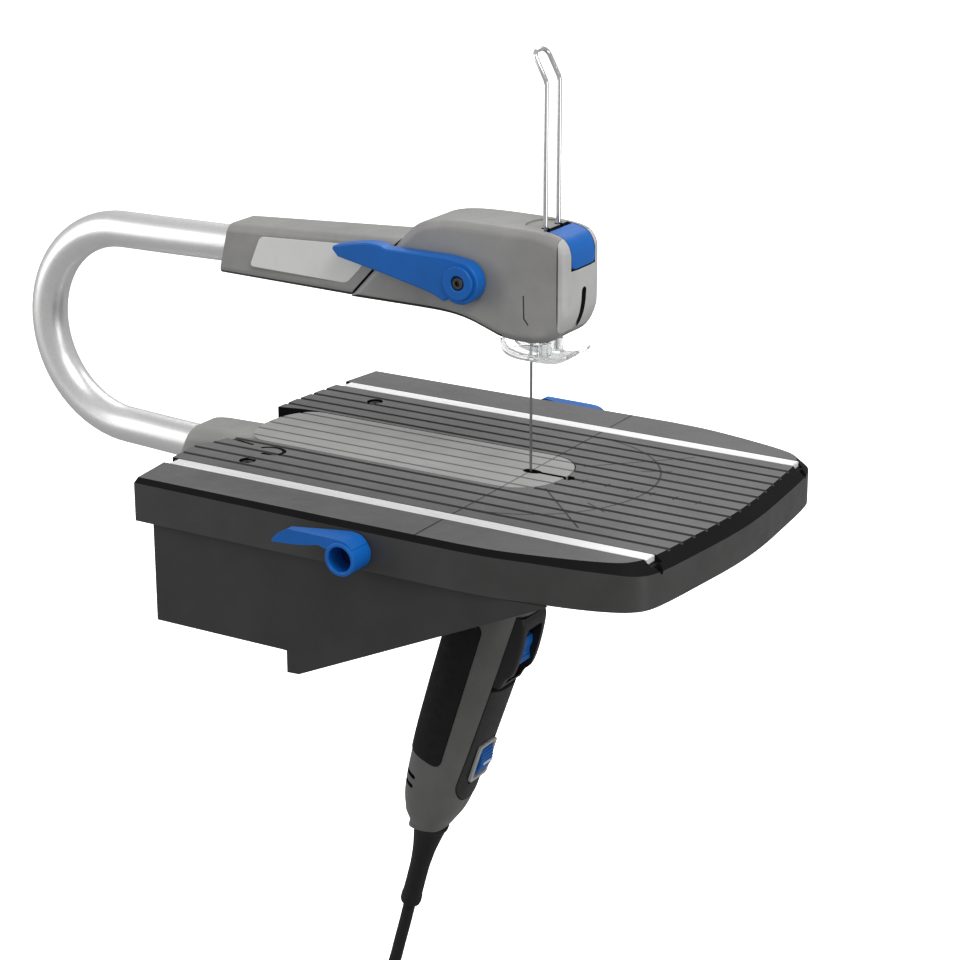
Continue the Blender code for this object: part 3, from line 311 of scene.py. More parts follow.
def marked_plastic(name, colour, line, roughness=0.5):
    """The table's moulding with its engraved protractor about the blade, cross line and ticks."""
    surface = Surface(name, Specular_IOR_Level=0.28)
    separate = surface.node("ShaderNodeSeparateXYZ")
    surface.link(surface.place, separate.inputs["Vector"])
    x = surface.math("SUBTRACT", separate.outputs["X"], BLADE_X * MM)
    y = separate.outputs["Y"]
    square = surface.math("ADD", surface.math("MULTIPLY", x, x), surface.math("MULTIPLY", y, y))
    far = surface.math("SQRT", square)
    top = surface.math("GREATER_THAN", separate.outputs["Z"], (TABLE_Z - 1.4) * MM)

    def near(value, target, half):
        gap = surface.math("ABSOLUTE", surface.math("SUBTRACT", value, target))
        return surface.ramp(gap, half * 0.6, half, 1.0, 0.0)

    def both(a, b):
        return surface.math("MULTIPLY", a, b)

    def either(a, b):
        return surface.math("MAXIMUM", a, b)

    half = 0.0006
    ring = both(near(far, 0.0662, half), surface.math("GREATER_THAN", x, 0.0))
    cross = near(x, 0.0, half)
    reach = both(surface.math("GREATER_THAN", far, 0.028), surface.math("LESS_THAN", far, 0.088))
    slope = surface.math("ABSOLUTE", y)
    diagonal = both(near(surface.math("SUBTRACT", slope, x), 0.0, half * 1.4), reach)
    shallow = surface.math("SUBTRACT", slope, surface.math("MULTIPLY", x, 0.5774))
    diagonal = either(diagonal, both(near(shallow, 0.0, half * 1.15), both(
        surface.math("GREATER_THAN", far, 0.056), surface.math("LESS_THAN", far, 0.072))))
    step = surface.math("FRACT", surface.math("DIVIDE", x, 0.0127))
    tick = both(near(step, 0.5, 0.05), surface.math("LESS_THAN", slope, 0.0028))
    tick = both(tick, both(surface.math("GREATER_THAN", x, 0.03), surface.math("LESS_THAN", x, 0.104)))
    lines = both(either(either(ring, cross), either(diagonal, tick)), top)
    tone = surface.ramp(surface.noise(30.0, 4.0), 0.3, 0.7, 0.0, 1.0)
    body = surface.mix(tone, lighter(colour, 0.9), lighter(colour, 1.1))
    surface.colour(surface.mix(lines, body, line))
    surface.roughness(surface.ramp(surface.noise(150.0, 3.0), 0.3, 0.7, roughness - 0.06, roughness + 0.06))
    height = surface.math("SUBTRACT", surface.math("MULTIPLY", surface.noise(2200.0, 2.0), 0.25), lines)
    surface.bump(height, 0.4, 0.0003)
    return surface.material


def clear_plastic(name):
    surface = Surface(name, roughness=0.12, Transmission_Weight=0.8, IOR=1.49)
    surface.shader.inputs["Alpha"].default_value = 0.92
    haze = surface.ramp(surface.noise(90.0, 3.0), 0.3, 0.7, 0.08, 0.2)
    surface.roughness(haze)
    surface.shader.inputs["Base Color"].default_value = (0.86, 0.87, 0.87, 1.0)
    return surface.material


GREY = (0.265, 0.262, 0.256)
PALE_GREY = (0.4, 0.4, 0.39)
BLUE = (0.003, 0.108, 0.42)


def make_materials():
    m = {
        "table": marked_plastic("table_moulding", (0.115, 0.115, 0.114), (0.012, 0.012, 0.012)),
        "cover": marked_plastic("cover_moulding", (0.3, 0.3, 0.295), (0.1, 0.1, 0.1)),
        "arrow": moulded("engraved_mark", (0.1, 0.1, 0.098), 0.5),
        # Darker copy of the table's moulding: painted shade in the grooves
        "groove": moulded("table_groove_painted_shade", (0.03, 0.03, 0.03), 0.6),
        # Near-black copy of the table's moulding: painted shade on the chamfer and on the walls of the cut
        # slots, grooves and holes
        "edge": moulded("table_chamfer_painted_shade", (0.005, 0.005, 0.005), 0.6, 0.12, shine=0.08),
        # Darker copy of the table's moulding: painted shade on its upright walls and the pocket's walls
        "rim": moulded("table_rim_painted_shade", (0.046, 0.046, 0.045), 0.45),
        # Darker copy of the cover's grey: painted shade in the cover's grooves
        "pale_groove": moulded("cover_groove_painted_shade", (0.16, 0.16, 0.157), 0.55),
        "base": moulded("base_moulding", (0.034, 0.0335, 0.033), 0.5),
        "handle": moulded("handle_moulding", (0.12, 0.119, 0.116), 0.42),
        # The head's grey made lighter: painted light on the nose, which faces the light
        "nose": moulded("nose_moulding_painted_light", (0.45, 0.45, 0.445), 0.36),
        # Darker blue: painted shade at the floor of the lock lever's socket
        "socket_shade_blue": moulded("socket_painted_shade_blue", (0.004, 0.02, 0.09), 0.5),
        "dark_steel": metal("blackened_steel", (0.09, 0.09, 0.092), 0.38),
        "rail": satin_aluminium("rail_metal", (0.99, 0.99, 0.99), 0.36, (0.02, 1.0, 1.0), 0.5),
        "tube": satin_aluminium("tube_metal", (0.84, 0.84, 0.835), 0.35, (1.0, 0.3, 1.0), 0.85),
        "grey": moulded("grey_moulding", GREY, 0.42),
        "pale": moulded("pale_grey_moulding", PALE_GREY, 0.38),
        "blue": moulded("blue_moulding", BLUE, 0.42, 0.2, 0.08),
        "label": moulded("label_face", (0.66, 0.66, 0.65), 0.3, 0.05, 0.03),
        # Black moulding for the black parts; the same material is painted shade on undersides and on the
        # walls that cutters leave in recesses and bores
        "black": moulded("black_moulding_and_painted_shade", (0.014, 0.014, 0.014), 0.45),
        "rubber": soft_rubber("grip_rubber", (0.007, 0.007, 0.007)),
        "strip": soft_rubber("strip_rubber", (0.03, 0.03, 0.031), 0.6),
        "cord": soft_rubber("cord_jacket", (0.012, 0.012, 0.013), 0.6),
        "steel": metal("machined_steel", (0.6, 0.6, 0.61), 0.3),
        "blade": metal("blade_steel", (0.34, 0.34, 0.345), 0.35),
        "chrome": metal("plated_wire", (0.82, 0.82, 0.83), 0.12, 0.01),
        "clear": clear_plastic("clear_foot"),
        "brass": metal("bush_brass", (0.6, 0.45, 0.2), 0.35),
        "copper": metal("copper_winding", (0.6, 0.27, 0.13), 0.4),
        "nylon": moulded("white_nylon", (0.7, 0.7, 0.67), 0.45),
        "board": moulded("green_board", (0.03, 0.18, 0.08), 0.5),
    }
    return m


# Mesh building

def add(name, points, faces, material, body=None, matrix=None):
    mesh = bpy.data.meshes.new(name)
    mesh.from_pydata([Vector(p) * MM for p in points], [], faces)
    shape = bmesh.new()
    shape.from_mesh(mesh)
    bmesh.ops.remove_doubles(shape, verts=shape.verts, dist=1e-7)
    bmesh.ops.delete(shape, geom=[e for e in shape.edges if not e.link_faces], context="EDGES")
    bmesh.ops.connect_verts_nonplanar(shape, angle_limit=math.radians(0.5), faces=shape.faces)
    bmesh.ops.recalc_face_normals(shape, faces=shape.faces)
    shape.to_mesh(mesh)
    shape.free()
    if material:
        mesh.materials.append(material)
    mesh.shade_smooth()
    mesh.set_sharp_from_angle(angle=math.radians(35.0))
    piece = bpy.data.objects.new(name, mesh)
    bpy.context.scene.collection.objects.link(piece)
    if matrix is not None:
        piece.matrix_world = matrix
    if body:
        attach(piece, body)
    return piece


def loft(name, rings, material, body=None, matrix=None, closed=False):
    """A skin over rings of equal count, with flat ends, or closed on itself."""
    count = len(rings[0])
    points = [p for ring in rings for p in ring]
    faces = []
    for i in range(len(rings) if closed else len(rings) - 1):
        a = i * count
        b = ((i + 1) % len(rings)) * count
        for j in range(count):
            k = (j + 1) % count
            faces.append((a + j, a + k, b + k, b + j))
    if not closed:
        faces.append(tuple(reversed(range(count))))
        faces.append(tuple(range(len(points) - count, len(points))))
    return add(name, points, faces, material, body, matrix)


def prism(name, outline, low_end, high_end, material=None, axis="Y", body=None, matrix=None):
    def at(pair, level):
        u, v = pair
        return {"X": (level, u, v), "Y": (u, level, v), "Z": (u, v, level)}[axis]
    rings = [[at(pair, low_end) for pair in outline], [at(pair, high_end) for pair in outline]]
    return loft(name, rings, material, body, matrix)


def box(name, corner, far_corner, material=None, body=None, matrix=None):
    outline = [(corner[0], corner[2]), (far_corner[0], corner[2]), (far_corner[0], far_corner[2]),
               (corner[0], far_corner[2])]
    return prism(name, outline, corner[1], far_corner[1], material, "Y", body, matrix)


def circle(u, v, radius, count=32, start=0.0, turn=360.0):
    steps = count if abs(turn) >= 360.0 else count - 1
    angles = [math.radians(start + turn * i / steps) for i in range(count)]
    return [(u + radius * math.cos(a), v + radius * math.sin(a)) for a in angles]


def turned(name, profile, at, axis, material=None, body=None, count=48, matrix=None):
    along = Vector({"X": (1, 0, 0), "Y": (0, 1, 0), "Z": (0, 0, 1)}[axis])
    side = Vector((0, 1, 0)) if axis == "X" else Vector((1, 0, 0))
    other = along.cross(side)
    rings = []
    for i in range(count):
        angle = 2.0 * math.pi * i / count
        out = side * math.cos(angle) + other * math.sin(angle)
        rings.append([Vector(at) + out * r + along * h for r, h in profile])
    return loft(name, rings, material, body, matrix, closed=True)


def rod(name, at, axis, length, radius, material=None, count=32, matrix=None, body=None):
    u, v = {"X": (at[1], at[2]), "Y": (at[0], at[2]), "Z": (at[0], at[1])}[axis]
    start = {"X": at[0], "Y": at[1], "Z": at[2]}[axis]
    ends = sorted((start, start + length))
    return prism(name, circle(u, v, radius, count), ends[0], ends[1], material, axis, body, matrix)


def bake(piece):
    """Applies a piece's modifiers."""
    bpy.context.view_layer.update()
    mesh = bpy.data.meshes.new_from_object(piece.evaluated_get(bpy.context.evaluated_depsgraph_get()))
    piece.modifiers.clear()
    piece.data = mesh
    mesh.name = piece.name
    return mesh


def combine(piece, other, operation):
    """Cuts, joins or intersects with another piece, which is used up."""
    modifier = piece.modifiers.new(operation, "BOOLEAN")
    modifier.operation = operation
    modifier.object = other
    modifier.solver = "EXACT"
    modifier.material_mode = "TRANSFER"
    bake(piece)
    bpy.data.objects.remove(other)
    return piece


def cut(piece, *cutters):
    for cutter in cutters:
        combine(piece, cutter, "DIFFERENCE")
    return piece


def join(piece, *others):
    for other in others:
        combine(piece, other, "UNION")
    return piece


def soften(piece, width, segments=3, angle=32.0):
    """Rounds a piece's sharp edges, as a mould does."""
    shape = bmesh.new()
    shape.from_mesh(piece.data)
    bmesh.ops.remove_doubles(shape, verts=shape.verts, dist=2e-6)
    bmesh.ops.dissolve_limit(shape, angle_limit=math.radians(0.6), verts=shape.verts, edges=shape.edges)
    shape.to_mesh(piece.data)
    shape.free()
    modifier = piece.modifiers.new("soft_edges", "BEVEL")
    modifier.width = width * MM
    modifier.segments = segments
    modifier.limit_method = "ANGLE"
    modifier.angle_limit = math.radians(angle)
    modifier.harden_normals = False
    modifier.use_clamp_overlap = True
    mesh = bake(piece)
    mesh.shade_smooth()
    mesh.set_sharp_from_angle(angle=math.radians(40.0))
    return piece


def replace(piece, body, *nodes):
    """Rides on a body in place of CAD nodes."""
    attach(piece, body)
    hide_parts(*nodes)
    return piece


def spline(points, steps):
    """A Catmull-Rom curve through points of any dimension, as tuples."""
    first = tuple(2 * a - b for a, b in zip(points[0], points[1]))
    last = tuple(2 * a - b for a, b in zip(points[-1], points[-2]))
    padded = [first, *points, last]
    curve = []
    for i in range(1, len(padded) - 2):
        for k in range(steps):
            t = k / steps
            curve.append(tuple(
                b + ((c - a) * t + (2 * a - 5 * b + 4 * c - d) * t * t + (3 * b - a - 3 * c + d) * t ** 3) / 2
                for a, b, c, d in zip(*padded[i - 1:i + 3])))
    return curve + [tuple(points[-1])]


def smooth_closed(points, steps):
    """A closed Catmull-Rom curve."""
    curve = spline([points[-1], *points, points[0], points[1]], steps)
    return curve[steps:-steps - 1]


def paint(piece, material, test):
    """Gives a second material to the faces that a test picks by their middle, in millimetres, and normal."""
    mesh = piece.data
    mesh.materials.append(material)
    index = len(mesh.materials) - 1
    for face in mesh.polygons:
        if test(face.center / MM, face.normal):
            face.material_index = index


def round_sides(piece, width, segments, chosen):
    """Rounds the edges that a test picks; the test sees the two ends in millimetres."""
    shape = bmesh.new()
    shape.from_mesh(piece.data)
    edges = [e for e in shape.edges if chosen(e.verts[0].co / MM, e.verts[1].co / MM)]
    bmesh.ops.bevel(shape, geom=edges, offset=width * MM, segments=segments, profile=0.5, affect="EDGES",
                    clamp_overlap=True)
    shape.to_mesh(piece.data)
    shape.free()
    return piece


def settle(piece):
    """Final shading: smooth, with the flat faces kept flat."""
    mesh = piece.data
    mesh.shade_smooth()
    mesh.set_sharp_from_angle(angle=math.radians(38.0))
    modifier = piece.modifiers.new("normals", "WEIGHTED_NORMAL")
    modifier.keep_sharp = True
    modifier.weight = 80
    bake(piece)
    return piece


def tube(name, path, radius, material, body, inner=0.0, count=24):
    """A round bar or a pipe along a path, with each ring turned on from the one before."""
    path = [Vector(p) for p in path]
    first = (path[1] - path[0]).normalized()
    side = first.cross(Vector((0, 1, 0)))
    rings, inside = [], []
    for i, point in enumerate(path):
        along = (path[min(i + 1, len(path) - 1)] - path[max(i - 1, 0)]).normalized()
        side = (side - along * side.dot(along)).normalized()
        across = along.cross(side)
        angles = [2.0 * math.pi * k / count for k in range(count)]
        rings.append([point + (side * math.cos(a) + across * math.sin(a)) * radius for a in angles])
        inside.append([point + (side * math.cos(a) + across * math.sin(a)) * inner for a in angles])
    if inner:
        return loft(name, rings + inside[::-1], material, body, closed=True)
    return loft(name, rings, material, body)


def super_ring(centre, half_a, half_b, power, count=64):
    ring = []
    for i in range(count):
        angle = 2.0 * math.pi * (i + 0.5) / count
        c, s = math.cos(angle), math.sin(angle)
        scale = (abs(c) ** power + abs(s) ** power) ** (-1.0 / power)
        ring.append((centre + half_a * c * scale, half_b * s * scale))
    return ring


# Cord

ROUTE = ((40.4, 0, -190.8), (37.0, 0, -204.0), (33.4, 0, -217.0), (29.8, 0, -230.0), (25.8, 0, -238.3),
         (19.1, 0, -245.0), (11.3, 0, -249.05))
PITCH = 7.1  # from one turn to the next
# How far each lane lies out from the coil's middle, and to the side
LANES = ((1, 0), (1, -1), (0, -1), (-1, -1), (-1, 0), (-1, 1), (0, 1), (1, 1))
ENTERS, FIRST_CHANGE, NEXT_CHANGE, LEAVES = 110.0, 410.0, 330.0, 2700.0  # degrees round the coil


def ease(value):
    value = min(max(value, 0.0), 1.0)
    return value * value * (3 - 2 * value)


def coil_point(degrees):
    """The coil goes round in eight lanes, and each change of lane comes 30 degrees earlier than the last."""
    out, aside = LANES[0]
    for i in range(1, len(LANES)):
        share = ease((degrees - FIRST_CHANGE - NEXT_CHANGE * (i - 1) + 30.0) / 60.0)
        out += (LANES[i][0] - LANES[i - 1][0]) * share
        aside += (LANES[i][1] - LANES[i - 1][1]) * share
    angle = math.radians(degrees)
    # The hanging stretch meets the coil's outside, then eases into the first lane
    radius = COIL_RADIUS + out * PITCH + 7.56 * (1 - ease((degrees - ENTERS) / 60.0))
    return Vector((COIL_X + radius * math.cos(angle), aside * PITCH, COIL_Z + radius * math.sin(angle)))


def cord_points():
    """The hanging stretch, the coil's turns and the straight tail to the plug."""
    points = [Vector(p) for p in spline(ROUTE, 3)]
    count = int((LEAVES - ENTERS) / 15.0)
    for i in range(1, count + 1):
        points.append(coil_point(ENTERS + (LEAVES - ENTERS) * i / count))
    end = points[-1]
    plug_top = high("plug_body").z
    for i in range(1, 6):
        points.append(Vector((end.x, end.y, end.z + (plug_top - 2.0 - end.z) * i / 5)))
    return points


def make_cord(m):
    points = cord_points()
    data = bpy.data.curves.new("mains_lead", "CURVE")
    data.dimensions = "3D"
    data.bevel_depth = CORD_RADIUS * MM * 0.985
    data.bevel_resolution = 6
    data.use_fill_caps = True
    line = data.splines.new("POLY")
    line.points.add(len(points) - 1)
    for slot, point in zip(line.points, points):
        slot.co = (*(point * MM), 1.0)
    data.materials.append(m["cord"])
    lead = bpy.data.objects.new("mains_lead", data)
    bpy.context.scene.collection.objects.link(lead)
    replace(lead, "saw", "cord", "cord_coil", "cord_tail")


# Base: table, housing and side locks

TABLE_EDGE = (((-58.5, 0.0), (-58.5, 0.0), 1.2), ((-57.5, 40.0), (-57.5, 40.0), 1.2),
              ((-54.0, 75.0), (-54.0, 75.0), 1.2), ((-49.5, 110.0), (-50.5, 112.4), 2.6),
              ((60.0, 110.4), (60.0, 112.8), 3.0), ((141.0, 110.4), (141.0, 112.8), 3.0),
              ((161.0, 109.0), (161.0, 111.6), 3.0), ((181.0, 105.4), (181.5, 108.6), 3.0),
              ((201.0, 100.6), (202.5, 104.8), 3.4), ((214.5, 96.2), (217.0, 100.4), 4.0),
              ((221.5, 92.2), (226.0, 95.6), 5.0), ((226.3, 84.8), (231.6, 88.4), 5.6),
              ((228.9, 73.6), (234.6, 74.6), 6.0), ((231.4, 48.0), (237.4, 48.6), 6.0),
              ((233.8, 22.0), (239.8, 22.2), 6.0), ((234.6, 0.0), (240.6, 0.0), 6.0))


def table_edge():
    """The table's plan with its front curves made smooth."""
    flat = [(tx, ty, wx, wy, drop) for (tx, ty), (wx, wy), drop in TABLE_EDGE]
    ahead = flat[-2]
    curve = spline(flat[5:] + [(ahead[0], -ahead[1], ahead[2], -ahead[3], ahead[4])], 4)[:-4]
    half = flat[:5] + curve
    return half + [(tx, -ty, wx, -wy, drop) for tx, ty, wx, wy, drop in reversed(half[1:-1])]


def arm_outline(grow, half=ARM_HALF, count=25):
    front = []
    for i in range(count):
        angle = math.radians(90.0 - 180.0 * i / (count - 1))
        c, s = math.cos(angle), math.sin(angle)
        scale = (abs(c) ** 2.3 + abs(s) ** 2.3) ** (-1 / 2.3)
        front.append((112.0 + (25.0 + grow) * c * scale, (half + grow) * s * scale))
    return front


def groove_cutter(lines, low_x, high_x, material, width=1.4, depth=0.9):
    """Shallow soft-bottomed grooves along X, all in one mesh."""
    points, faces = [], []
    half = [(-width, 0.25), (-width, 0.0), (-width * 0.62, -depth * 0.75)]
    section = half + [(0.0, -depth)] + [(-u, v) for u, v in reversed(half)]
    count = len(section)
    for y in lines:
        first = len(points)
        for x in (low_x, high_x):
            points += [(x, y + dy, TABLE_Z + dz) for dy, dz in section]
        for j in range(count):
            k = (j + 1) % count
            faces.append((first + j, first + k, first + count + k, first + count + j))
        faces.append(tuple(first + j for j in reversed(range(count))))
        faces.append(tuple(first + count + j for j in range(count)))
    return add("grooves", points, faces, material)


def make_table(m):
    edge = table_edge()
    rings = [[(x, y, TABLE_Z) for x, y, _, _, _ in edge],
             [(x, y, TABLE_Z - drop) for _, _, x, y, drop in edge],
             [(x, y, TABLE_FLOOR) for _, _, x, y, _ in edge]]
    table = loft("table_shell", rings, m["table"])
    # Painted shade: the slanted chamfer faces take the near-black copy of the table's moulding
    paint(table, m["edge"],
          lambda at, normal: normal.z < 0.97 and at.z > TABLE_Z - 6.0 and abs(normal.z) > 0.1)
    # Painted shade: the upright walls, and below them the pocket's walls, take the darker copy of the table's
    # moulding
    paint(table, m["rim"], lambda at, normal: abs(normal.z) <= 0.1)
    half_pocket = [(-50.0, 0.0), (-46.0, 75.0), (-42.0, 106.5), (140.0, 106.5), (180.0, 102.0), (205.0, 96.0),
                   (222.0, 75.0), (228.0, 40.0), (231.0, 0.0)]
    pocket = half_pocket + [(x, -y) for x, y in reversed(half_pocket[1:-1])]
    cut(table, prism("pocket", pocket, TABLE_FLOOR - 5.0, TABLE_Z - 7.0, m["rim"], "Z"))
    slot = arm_outline(0.5) + [(-35.0, -29.0), (-44.0, -30.6), (-48.8, -34.6), (-50.6, -41.0), (-56.6, -52.0),
                               (-80.0, -53.5), (-80.0, 23.5), (-57.7, 24.5), (-44.0, 28.0), (-35.0, 29.0)]
    # Painted shade: these cutters carry the near-black chamfer material, so the walls of the slot, rail
    # grooves, notches, holes and hook mark come out near-black
    cut(table, prism("slot", slot, TABLE_FLOOR - 5.0, TABLE_Z + 5.0, m["edge"], "Z"))
    for sign in (-1, 1):
        near = sign * RAIL_Y - 4.3
        far = sign * RAIL_Y + 4.3
        groove = [(-70.0, near), (231.5, near), (233.5, sign * RAIL_Y), (231.5, far), (-70.0, far)]
        cut(table, prism("groove", groove, TABLE_Z - 3.3, TABLE_Z + 5.0, m["edge"], "Z"))
        notch = [(sign * RAIL_Y - 4.6, TABLE_Z + 1.0), (sign * RAIL_Y - 0.6, TABLE_Z - 7.4),
                 (sign * RAIL_Y + 0.6, TABLE_Z - 7.4), (sign * RAIL_Y + 4.6, TABLE_Z + 1.0)]
        cut(table, prism("notch", notch, 230.5, 250.0, m["edge"], "X"))
        cut(table, rod("hole", (SCREW_X, sign * SCREW_Y, TABLE_Z - 20), "Z", 30.0, 2.2, m["edge"]))
        cut(table, rod("sink", (SCREW_X, sign * SCREW_Y, TABLE_Z - 4.0), "Z", 10.0, 4.4, m["edge"]))
        cut(table, rod("lock_hole", (LOCK_X, sign * 100.0, LOCK_Z), "Y", sign * 20.0, 5.8, m["edge"]))
    cut(table, rod("blade_hole", (139.0, 0.0, TABLE_Z - 20), "Z", 30.0, 3.2, m["edge"]),
        box("neck", (130.0, -1.3, TABLE_Z - 20), (139.0, 1.3, TABLE_Z + 5), m["edge"]))
    # A hook-shaped mark moulded in beside the rear of the slot
    hook = [Vector((-50.0, -33.6, TABLE_Z)), Vector((-30.0, -37.2, TABLE_Z))]
    hook += [Vector((-16.0 + 7.6 * math.cos(a), -41.0 + 5.6 * math.sin(a), TABLE_Z))
             for a in [math.radians(165.0 - 17.0 * i) for i in range(17)]]
    cut(table, tube("hook", hook[2:], 1.15, m["edge"], None, count=8))
    cut(table, tube("hook_line", hook[:2], 0.9, m["edge"], None, count=8))
    soften(table, 0.5, 2, 30.0)
    # Painted shade: the groove cutter leaves its walls in the darker copy of the moulding
    cut(table, groove_cutter([GROOVE_STEP * i for i in range(-6, 7)], -70.0, 250.0, m["groove"]))
    return replace(settle(table), "saw", "table_top")


def make_arm_cover(m):
    rear = []
    for i in range(19):
        angle = math.radians(90.0 + 10.0 * i)
        rear.append((-30.0 + 17.0 * math.cos(angle), (ARM_HALF - 0.1) * math.sin(angle)))
    cover = prism("arm_cover", arm_outline(-0.1) + rear[::-1], 72.0, TABLE_Z, m["cover"], "Z")
    # Painted shade: the slit and eye cutters leave near-black walls
    slit = box("slit", (112.8, -1.3, 60.0), (150.0, 1.3, 90.0), m["edge"])
    eye = smooth_closed([(112.5, 0.0), (114.0, 2.3), (117.0, 3.0), (120.5, 2.6), (123.5, 0.8), (123.5, -0.8),
                         (120.5, -2.6), (117.0, -3.0), (114.0, -2.3)], 3)
    cut(cover, slit, prism("eye", eye, 60.0, 90.0, m["edge"], "Z"))
    soften(cover, 0.45, 2)
    lines = [GROOVE_STEP * i for i in range(-2, 3)]
    # Painted shade: the groove walls take the darker copy of the cover's grey
    cut(cover, groove_cutter(lines, -70.0, 250.0, m["pale_groove"], 0.95, 0.55))
    return replace(settle(cover), "saw", "lower_arm_cover")


def make_soft_copy(node, name, material, width, segments=3, body="saw"):
    """A CAD piece's own shape with its edges rounded."""
    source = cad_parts[node]
    mesh = source.data.copy()
    mesh.name = name
    mesh.materials.clear()
    mesh.materials.append(material)
    piece = bpy.data.objects.new(name, mesh)
    bpy.context.scene.collection.objects.link(piece)
    piece.matrix_world = source.matrix_world.copy()
    soften(piece, width, segments)
    return replace(settle(piece), body, node)


def make_lock_lever(m, side):
    sign = SIGN[side]
    outer, inner = 128.0, 113.1
    boss = [(6.4, outer - 0.5), (6.9, outer), (8.0, outer - 0.1), (8.5, outer - 0.6), (8.6, inner),
            (5.5, inner), (5.5, 104.5), (4.0, 104.0), (4.0, 92.0), (0.0, 92.0), (0.0, 116.0), (6.4, 116.0)]
    boss = [(r, sign * h) for r, h in boss]
    lever = turned(f"side_lock_{side}", boss, (LOCK_X, 0.0, LOCK_Z), "Y", m["blue"], count=64)
    top = spline([(90.7, 67.3), (91.8, 68.4), (88.8, 71.2), (84.0, 72.3), (70.0, 72.5), (54.5, 72.6)], 3)
    under = spline([(60.0, 65.4), (67.5, 66.6), (72.0, 67.6), (75.0, 66.8), (78.5, 66.1)], 3)
    ring = [(81.3, 68.9), (85.0, 69.9), (88.7, 68.9)]
    outline = [(45.4, 64.4)] + under + ring + top + [(48.5, 69.2), (44.9, 65.4)]
    arm = prism("arm", outline, *sorted((sign * 132.0, sign * 108.0)), m["blue"])
    plan = [(40.0, outer - 0.9), (100.0, outer - 0.9), (100.0, inner + 0.4), (83.0, inner + 0.4),
            (75.0, 116.0), (63.0, 120.0), (53.0, 123.4), (40.0, 124.4)]
    seen_from_above = prism("plan", [(x, sign * y) for x, y in plan], 50.0, 90.0, m["blue"], "Z")
    join(lever, combine(arm, seen_from_above, "INTERSECT"))
    soften(lever, 1.2, 3, 40.0)
    # Painted shade: a darker blue disc at the floor of the boss's socket
    lens = rod("socket", (LOCK_X, sign * 115.4, LOCK_Z), "Y", sign * 1.2, 6.3, m["socket_shade_blue"], count=48)
    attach(lens, f"lock_lever_{side}")
    return replace(settle(lever), f"lock_lever_{side}", f"lock_lever_{side}")


# Bow

def sloped_ring(x, lean, z_low, z_high, half_width, corner, count=9):
    centre = (z_low + z_high) / 2
    ring = []
    for u, v, start in ((1, 1, 0), (-1, 1, 90), (-1, -1, 180), (1, -1, 270)):
        cy = u * (half_width - corner)
        cz = centre + v * ((z_high - z_low) / 2 - corner)
        for y, z in circle(cy, cz, corner, count, start, 90.0):
            ring.append((x + lean * (z - centre), y, z))
    return ring


def make_bow(m):
    path = [(3.0, 0.0, 173.4), (-60.0, 0.0, 172.4), (-110.0, 0.0, 171.4)]
    for i in range(33):
        angle = math.radians(90.0 + 180.0 * i / 32)
        path.append((BEND_X + BEND_RADIUS * math.cos(angle), 0.0, BEND_Z + BEND_RADIUS * math.sin(angle)))
    path += [(-115.0, 0.0, 57.4), (-85.0, 0.0, 56.0), (-50.0, 0.0, 54.4)]
    bow = tube("bow", path, TUBE_RADIUS, m["tube"], None, TUBE_RADIUS - 2.0, 64)
    replace(bow, "saw", "bow_tube")

    rings = []
    for share in [i / 8 for i in range(9)]:
        x = -63.0 + 96.4 * share
        rings.append(sloped_ring(x, 0.25 + 0.68 * share, 158.6 - 0.6 * share, 186.3 + 5.9 * share,
                                 13.4 + 3.2 * share, 4.5 + 1.0 * share))
    sleeve = loft("sleeve", rings, m["grey"])
    # Painted shade: the bore cutter leaves black walls round the tube
    cut(sleeve, rod("bore", (-90.0, 0.0, 172.9), "X", 95.0, TUBE_RADIUS + 1.2, m["black"], 48))
    panel = [(-37.5, 183.8), (-45.0, 165.6), (17.5, 164.4), (27.5, 175.0), (30.5, 187.2)]
    pad = prism("pad", panel, -17.2, -12.8, m["grey"])
    cut(pad, prism("recess", panel, -20.0, -15.9, m["grey"]))
    join(sleeve, pad)
    soften(sleeve, 0.9, 3, 33.0)
    # Painted shade: the downward-facing faces take the black moulding, for the shade under the sleeve
    paint(sleeve, m["black"], lambda at, normal: normal.z < -0.55)
    replace(settle(sleeve), "saw", "upper_sleeve")
    inset = [(-36.9, 183.0), (-44.1, 166.3), (17.0, 165.1), (26.7, 175.3), (29.6, 186.3)]
    plate = prism("blank_label", inset, -16.6, -16.0, m["label"])
    round_sides(plate, 2.6, 5, lambda a, b: abs(a.x - b.x) < 0.1 and abs(a.z - b.z) < 0.1 and a.x < 28.0)
    soften(plate, 0.25, 2)
    replace(settle(plate), "saw", "label_plate")

    rings = []
    # Place, lean, bottom, top and half width of each ring
    profile = ((-95.5, 0.42, 42.0, 69.2, 14.9), (-91.5, 0.4, 41.7, 69.8, 15.8),
               (-87.0, 0.38, 41.4, 70.1, 16.4), (-77.0, 0.29, 41.2, 70.2, 16.7),
               (-66.0, 0.2, 41.0, 70.3, 17.0), (-52.0, 0.0, 41.0, 70.3, 17.4),
               (-48.5, 0.0, 41.0, 69.9, 17.6), (-37.4, 0.0, 41.0, 69.9, 17.6))
    for x, lean, bottom, top, half in profile:
        rings.append(sloped_ring(x, lean, bottom, top, half, 8.0))
    collar = loft("collar", rings, m["grey"])
    # Painted shade: the bore cutter leaves black walls round the tube
    cut(collar, rod("bore", (-120.0, 0.0, 56.0), "X", 74.0, TUBE_RADIUS + 1.1, m["black"], 48))
    soften(collar, 1.2, 3, 33.0)
    replace(settle(collar), "saw", "lower_collar")


# Saw unit: lower arm and handle

